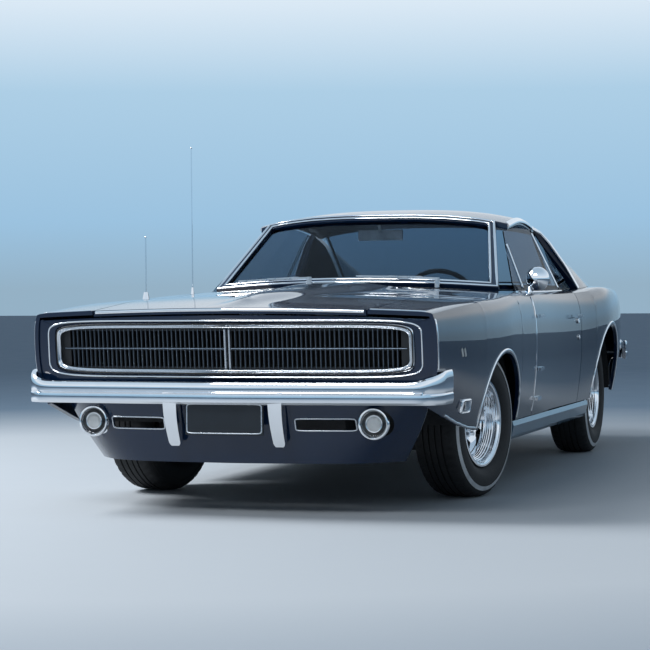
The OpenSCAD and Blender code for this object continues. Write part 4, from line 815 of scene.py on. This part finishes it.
def door_mirror():
    corners = [v.co for v in nodes["door_mirror"].data.vertices]
    r = 0.062
    centre = Vector((min(c.x for c in corners) + 0.014, max(c.y for c in corners) - r,
                     max(c.z for c in corners) - r))
    bm = bmesh.new()
    head = [(0, -0.008), (r - 0.010, -0.008), (r - 0.008, -0.014), (r - 0.003, -0.014), (r, -0.008),
            (r - 0.002, 0.004), (r - 0.007, 0.016), (r * 0.72, 0.032), (r * 0.4, 0.042), (0, 0.046)]
    lathe_into(bm, head, on_axis(centre, AHEAD), steps=56, marks=[1, 0, 0, 0, 0, 0, 0, 0, 0])
    foot = centre + Vector((0.010, -0.038, 0))
    base = min(c.z for c in corners) - foot.z
    stalk = [(0, base), (0.018, base), (0.017, base + 0.006), (0.010, base + 0.022), (0.0075, base + 0.034),
             (0.0075, 0), (0, 0.002)]
    lathe_into(bm, stalk, on_axis(foot, (0, 0, 1)), steps=32)
    from_bmesh("door_mirror_shell", bm, (chrome, mirror), "door_left", SHARP_STRIP, replace="door_mirror",
               slot="chrome")


# Engine

def engine_top():
    """Ribbed valve covers and a round air cleaner on the engine block."""
    boxes = []
    for side in (1, -1):
        y = side * 0.185
        for half_l, half_w, low, high in ((0.315, 0.078, -0.004, 0.008), (0.300, 0.065, -0.004, 0.042)):
            boxes.append(((ENGINE_X - half_l, y - half_w, ENGINE_TOP + low),
                          (ENGINE_X + half_l, y + half_w, ENGINE_TOP + high)))
        for k in range(9):
            x = ENGINE_X - 0.24 + 0.06 * k
            boxes.append(((x - 0.008, y - 0.056, ENGINE_TOP + 0.038),
                          (x + 0.008, y + 0.056, ENGINE_TOP + 0.049)))
    blocks("valve_covers", boxes, satin, 0.004, "black_steel")
    bm = bmesh.new()
    profile = [(0, -0.002), (0.058, -0.002), (0.058, 0.052), (0.150, 0.056), (0.158, 0.060), (0.158, 0.063),
               (0.150, 0.066), (0.150, 0.081), (0.162, 0.083), (0.166, 0.087), (0.160, 0.091),
               (0.120, 0.095), (0.060, 0.096), (0.018, 0.095), (0.016, 0.103), (0, 0.104)]
    dark = [1 if j in (1, 2, 6) else 0 for j in range(len(profile) - 1)]
    lathe_into(bm, profile, on_axis((ENGINE_X - 0.02, 0, ENGINE_TOP), (0, 0, 1)), steps=72, marks=dark)
    from_bmesh("air_cleaner", bm, (chrome, plate_black), sharp=SHARP, slot="black_steel")


def engine_front():
    """Pulleys with their belt, and the fan."""
    wheels = ((0, 0.470, 0.080), (0, 0.620, 0.066), (0.170, 0.700, 0.046), (-0.170, 0.690, 0.052))
    bm = bmesh.new()
    rim = []
    for y, z, r in wheels:
        pulley = [(0, -0.002), (r * 0.3, -0.002), (r * 0.3, 0.008), (r, 0.010), (r, 0.014),
                  (r - 0.008, 0.020), (r, 0.026), (r, 0.030), (r * 0.85, 0.031), (r * 0.5, 0.024),
                  (r * 0.25, 0.026), (0, 0.026)]
        lathe_into(bm, pulley, on_axis((ENGINE_FRONT, y, z), AHEAD), steps=48)
        rim += [Vector((y + r * cos(pi * k / 16), z + r * sin(pi * k / 16))) for k in range(32)]
    from_bmesh("pulleys", bm, steel, sharp=SHARP, slot="black_steel")
    loop = [rim[k] for k in convex_hull_2d(rim)]
    middle = sum(loop, Vector((0, 0))) / len(loop)
    points = [Vector((ENGINE_FRONT + 0.020, q.x, q.y)) for q in loop]
    away = [Vector((0, q.x - middle.x, q.y - middle.y)) for q in loop]
    sweep("fan_belt", points, away, strip(0.011, 0.004), seal, closed=True, slot="black_steel")
    hub = on_axis((ENGINE_FRONT + 0.056, *wheels[1][:2]), AHEAD)
    boxes = []
    for k in range(6):
        blade = hub @ Matrix.Rotation(2 * pi * k / 6, 4, "Z") @ Matrix.Rotation(radians(28), 4, "X")
        boxes.append(((0.030, -0.032, -0.0015), (0.180, 0.032, 0.0015), blade))
    boxes.append(((-0.034, -0.034, -0.032), (0.034, 0.034, 0.012), hub))
    blocks("fan", boxes, satin, 0.001, "black_steel")


# Wheels

def wheel_places():
    for name, side in SIDES:
        out = Vector((-side * sin(STEER), side * cos(STEER), 0))
        kingpin = Vector((AXLE_F, side * KING_Y, HUB_Z))
        yield "front_" + name, on_axis(kingpin + out * (WHEEL_Y - KING_Y), out)
        yield "rear_" + name, on_axis((AXLE_R, side * WHEEL_Y, HUB_Z), (0, side, 0))


def tyre(name, place):
    """A tyre with four grooves, cross-cut shoulder blocks, and a white line on the outer wall."""
    b, r, w = RIM_R + 0.0006, TYRE_R, TYRE_HW
    wall = [(b, 0.085), (b + 0.018, 0.0855), (b + 0.030, 0.102), (b + 0.050, 0.1115), (b + 0.064, w),
            (r - 0.070, 0.1132), (r - 0.050, 0.1103), (r - 0.0495, 0.1118), (r - 0.0300, 0.1058),
            (r - 0.0295, 0.1042), (r - 0.020, 0.1000), (r - 0.011, 0.0935), (r - 0.004, 0.0815)]
    white = 7
    tread = [(r, 0.0600)]
    for edge in (0.050, 0.018, -0.014, -0.042):
        tread += [(r, edge), (r - 0.008, edge - 0.001), (r - 0.008, edge - 0.007), (r, edge - 0.008)]
    tread.append((r, -0.0600))
    profile = wall + tread + [(a, -h) for a, h in reversed(wall)]
    marks = [1 if j == white else 0 for j in range(len(profile) - 1)]
    first, last = len(wall), len(wall) + len(tread)
    shoulder = {first - 2: 0.004, first - 1: 0.006, first: 0.006,
                last - 1: 0.006, last: 0.006, last + 1: 0.004}

    def ripple(j, k):
        return -shoulder.get(j, 0) if k % 4 == 0 else 0

    bm = bmesh.new()
    lathe_into(bm, profile, place, steps=192, marks=marks, ripple=ripple)
    from_bmesh("tyre_skin_" + name, bm, (rubber, white_rubber), "wheel_" + name, sharp=30,
               replace="tyre_" + name, slot="tyre")


def wheel_dress(name, place):
    """A stepped trim ring, a cap, and a drum behind the openings."""
    body, fine = "wheel_" + name, 25
    ring = [(0.1560, 0.0300), (0.1575, 0.0330), (0.1600, 0.0335), (0.1615, 0.0400), (0.1640, 0.0410),
            (0.1655, 0.0475), (0.1690, 0.0490), (0.1705, 0.0560), (0.1740, 0.0580), (0.1755, 0.0660),
            (0.1790, 0.0690), (0.1800, 0.0800), (0.1840, 0.0900), (0.1900, 0.0965), (0.1985, 0.0975),
            (0.1990, 0.0950)]
    lathe("trim_ring_" + name, ring, place, chrome, body, steps=96, sharp=fine, slot="polished_alloy")
    cap = [(0.040, 0.046), (0.039, 0.052), (0.030, 0.058), (0.026, 0.0575), (0.023, 0.0605), (0.012, 0.063),
           (0, 0.0635)]
    lathe("wheel_cap_" + name, cap, place, satin, body, steps=48, sharp=fine, slot="polished_alloy")
    drum = [(0, -0.046), (0.140, -0.046), (0.146, -0.050), (0.146, -0.075), (0.138, -0.080), (0, -0.080)]
    lathe("drum_" + name, drum, place, iron, body, steps=64, slot="black_steel")


# Cabin

def cushion(name, size, place, pleats, replace=None):
    """A crowned pad with sewn pleats along its length. Its sides draw in between the corners."""
    length, width, deep = size
    across, along = 48, 24
    crown, seam, draw = 0.022, 0.006, 0.016
    bm = bmesh.new()
    rows = {}
    for face in (1, -1):
        for i in range(across + 1):
            for j in range(along + 1):
                u, v = -1 + 2 * i / across, -1 + 2 * j / along
                pull = draw * (1 - u * u) * (v * v) ** 4 + draw * (1 - v * v) * (u * u) ** 4
                x, y = v * (length / 2 - pull), u * (width / 2 - pull)
                edge = max(0.0, 1 - abs(u) ** 8) ** 0.5 * max(0.0, 1 - abs(v) ** 8) ** 0.5
                z = face * deep / 2 * edge
                if face > 0:
                    z += crown * (1 - u * u) * (1 - v * v)
                    if abs(u) < 0.80 and abs(v) < 0.82:
                        phase = (u / 0.80 * pleats / 2) % 1.0
                        z -= seam * max(0.0, 1 - min(phase, 1 - phase) / 0.12)
                    for line in (abs(abs(u) - 0.82), abs(abs(v) - 0.84)):
                        z -= seam * max(0.0, 1 - line / 0.03)
                rim = abs(u) > 0.999 or abs(v) > 0.999
                if rim and face < 0:
                    rows[face, i, j] = rows[1, i, j]
                else:
                    rows[face, i, j] = bm.verts.new(place @ Vector((x, y, 0 if rim else z)))
        for i in range(across):
            for j in range(along):
                corners = ((i, j), (i + 1, j), (i + 1, j + 1), (i, j + 1))
                bm.faces.new([rows[face, a, b] for a, b in corners])
    o = from_bmesh(name, bm, vinyl, replace=replace, slot="vinyl")
    subdivide(o, 1)


def tilted(place, degrees):
    return Matrix.Translation(Vector(place)) @ Matrix.Rotation(radians(degrees), 4, "Y")


def seats():
    width, rear_width = SEAT_W - 0.01, REAR_SEAT_W - 0.01
    for name, side in SIDES:
        y = side * SEAT_Y
        cushion("seat_cushion_" + name, (0.50, width, 0.130),
                tilted((SEAT_X + 0.275, y, FLOOR_Z + 0.090), -6), 7,
                replace="front_seats" if side > 0 else None)
        cushion("seat_back_" + name, (0.52, width, 0.105),
                tilted((SEAT_X - 0.010, y, FLOOR_Z + 0.375), -102), 7)
    cushion("rear_cushion", (0.36, rear_width, 0.110),
            tilted((REAR_SEAT_X + 0.140, 0, REAR_SEAT_Z + 0.070), -3), 14, replace="rear_seat")
    cushion("rear_back", (0.36, rear_width, 0.080),
            tilted((REAR_SEAT_X - 0.015, 0, REAR_SEAT_Z + 0.270), -101), 14)


def helm():
    """Rim with finger notches, hub and column, and three spokes."""
    tilt = Matrix.Translation(Vector(HELM)) @ Matrix.Rotation(pi / 2 + HELM_TILT, 4, "Y")
    bm = bmesh.new()
    count, section = 96, 12
    rows = []
    for k in range(count):
        a = 2 * pi * k / count
        thick = 0.0125 - (0.0018 if k % 6 == 0 else 0)
        row = []
        for m in range(section):
            b = 2 * pi * m / section
            r = HELM_R + thick * cos(b)
            row.append(bm.verts.new(tilt @ Vector((r * cos(a), r * sin(a), thick * sin(b)))))
        rows.append(row)
    for k in range(count):
        here, there = rows[k], rows[(k + 1) % count]
        for m in range(section):
            n = (m + 1) % section
            bm.faces.new((here[m], there[m], there[n], here[n]))
    column = [(0, -0.014), (0.030, -0.016), (0.042, -0.012), (0.046, -0.004), (0.046, 0.020),
              (0.026, 0.026), (0.026, 0.268), (0, 0.268)]
    lathe_into(bm, column, tilt, steps=48)
    from_bmesh("helm_rim", bm, plastic, replace="steering_wheel", slot="cabin_plastic")
    arms = []
    for a in (90, 210, 330):
        spin = tilt @ Matrix.Rotation(radians(a), 4, "Z")
        arms.append(((0.040, -0.013, -0.005), (HELM_R - 0.004, 0.013, 0.003), spin))
    blocks("helm_spokes", arms, satin, 0.002, "cabin_plastic")


def gauges():
    """Round dials with bright rims on the dash ahead of the driver."""
    dash = tree_of("dashboard")
    for k, (y, r) in enumerate(((0.300, 0.052), (0.430, 0.052), (0.545, 0.030), (0.190, 0.030))):
        found = cast(dash, (0, y, 0.865), AHEAD)
        dial = [(r + 0.006, -0.006), (r + 0.006, 0.006), (r + 0.002, 0.009), (r, 0.005), (r * 0.97, 0.001),
                (r * 0.8, 0.0005), (r * 0.12, 0.0005), (r * 0.1, 0.004), (0, 0.004)]
        bm = bmesh.new()
        lathe_into(bm, dial, on_axis(found[0], (-1, 0, 0.35)), steps=48, marks=[0, 0, 0, 0, 1, 2, 0, 0])
        from_bmesh(f"gauge_{k}", bm, (chrome, dial_white, plate_black), sharp=SHARP,
                   slot="cabin_plastic")


arch_lips()
nose_trim()
grille_rings()
nose_ring()
grille_bars()
slot_rims()
shut_line_trim()
fender_foot_trim()
screen_trim()
rear_screen_trim()
drip_rails()
glass_trim()
small_trim()
front_plate()
cowl_slot_shade()
fog_lamps()
tail_bezels()
exhaust_tips()
door_mirror()
for corner, place in wheel_places():
    tyre(corner, place)
    wheel_dress(corner, place)
engine_top()
engine_front()
seats()
helm()
gauges()


# Stage, light and camera

def sheet(name, corners, finish):
    bm = bmesh.new()
    bm.faces.new([bm.verts.new(c) for c in corners])
    mesh = bpy.data.meshes.new(name)
    bm.to_mesh(mesh)
    bm.free()
    o = bpy.data.objects.new(name, mesh)
    scene.collection.objects.link(o)
    mesh.materials.append(finish)


sheet("floor", [(x * FLOOR_HALF, y * FLOOR_HALF, 0) for x, y in ((-1, -1), (1, -1), (1, 1), (-1, 1))],
      floor_material())


def world_light():
    """Steel blue at the horizon, near white above it, bluer overhead. Matt surfaces get less of it."""
    w = bpy.data.worlds.new("studio")
    scene.world = w
    w.use_nodes = True
    tree = w.node_tree
    ground = tree.nodes["Background"]
    place = tree.nodes.new("ShaderNodeTexCoord")
    split = tree.nodes.new("ShaderNodeSeparateXYZ")
    ramp = tree.nodes.new("ShaderNodeValToRGB")
    tree.links.new(place.outputs["Generated"], split.inputs["Vector"])
    tree.links.new(split.outputs["Z"], ramp.inputs["Fac"])
    set_stops(ramp, [(0.0, (0.30, 0.44, 0.56)), (0.03, (0.33, 0.54, 0.74)), (0.09, (0.42, 0.62, 0.79)),
                     (0.15, (0.84, 0.91, 0.98)), (0.50, (0.60, 0.74, 0.88)), (0.9, (0.38, 0.52, 0.66))])
    tree.links.new(ramp.outputs["Color"], ground.inputs["Color"])
    path = tree.nodes.new("ShaderNodeLightPath").outputs
    seen = path["Is Camera Ray"]
    for ray in ("Is Glossy Ray", "Is Transmission Ray"):
        either = tree.nodes.new("ShaderNodeMath")
        either.operation = "MAXIMUM"
        tree.links.new(seen, either.inputs[0])
        tree.links.new(path[ray], either.inputs[1])
        seen = either.outputs["Value"]
    strength = tree.nodes.new("ShaderNodeMapRange")
    strength.inputs["To Min"].default_value = 0.30
    strength.inputs["To Max"].default_value = 1.0
    tree.links.new(seen, strength.inputs["Value"])
    tree.links.new(strength.outputs["Result"], ground.inputs["Strength"])


world_light()


def aimed(way):
    """The turn that points a lamp along way."""
    return way.to_track_quat("-Z", "Y").to_euler()


def sun(name, place, power, spread_deg):
    """A far soft lamp, shining from place towards the origin."""
    data = bpy.data.lights.new(name, "SUN")
    data.energy = power
    data.angle = radians(spread_deg)
    o = bpy.data.objects.new(name, data)
    scene.collection.objects.link(o)
    o.rotation_euler = aimed(-Vector(place))


def area(name, place, target, size, power):
    data = bpy.data.lights.new(name, "AREA")
    data.shape = "RECTANGLE"
    data.size, data.size_y = size
    data.energy = power
    o = bpy.data.objects.new(name, data)
    scene.collection.objects.link(o)
    o.location = place
    o.rotation_euler = aimed(Vector(target) - Vector(place))


sun("sky", (0.6, -6.0, 6.0), 0.9, 25)
area("key", (2.2, -6.5, 6.5), (0.8, 0, 0.4), (4, 3), 600)
area("front", (9.0, -1.5, 6.5), (2.2, 0, 0.6), (4, 2), 260)


def photo_camera():
    """The camera that was fitted to the picture."""
    eye = Vector((11.15, 3.142, 0.98))
    heading, rise, roll = 3.446, -0.018, -0.008
    focal_px, frame_px, sensor = 2154.5, 650, 36
    ahead = Vector((cos(rise) * cos(heading), cos(rise) * sin(heading), sin(rise)))
    right = ahead.cross(Vector((0, 0, 1))).normalized()
    up = right.cross(ahead)
    right, up = cos(roll) * right + sin(roll) * up, cos(roll) * up - sin(roll) * right
    data = bpy.data.cameras.new("camera")
    data.sensor_width = sensor
    data.lens = sensor * focal_px / frame_px
    data.clip_end = 200
    o = bpy.data.objects.new("camera", data)
    scene.collection.objects.link(o)
    o.matrix_world = Matrix((
        (right.x, up.x, -ahead.x, eye.x), (right.y, up.y, -ahead.y, eye.y),
        (right.z, up.z, -ahead.z, eye.z), (0, 0, 0, 1)))
    scene.camera = o


photo_camera()
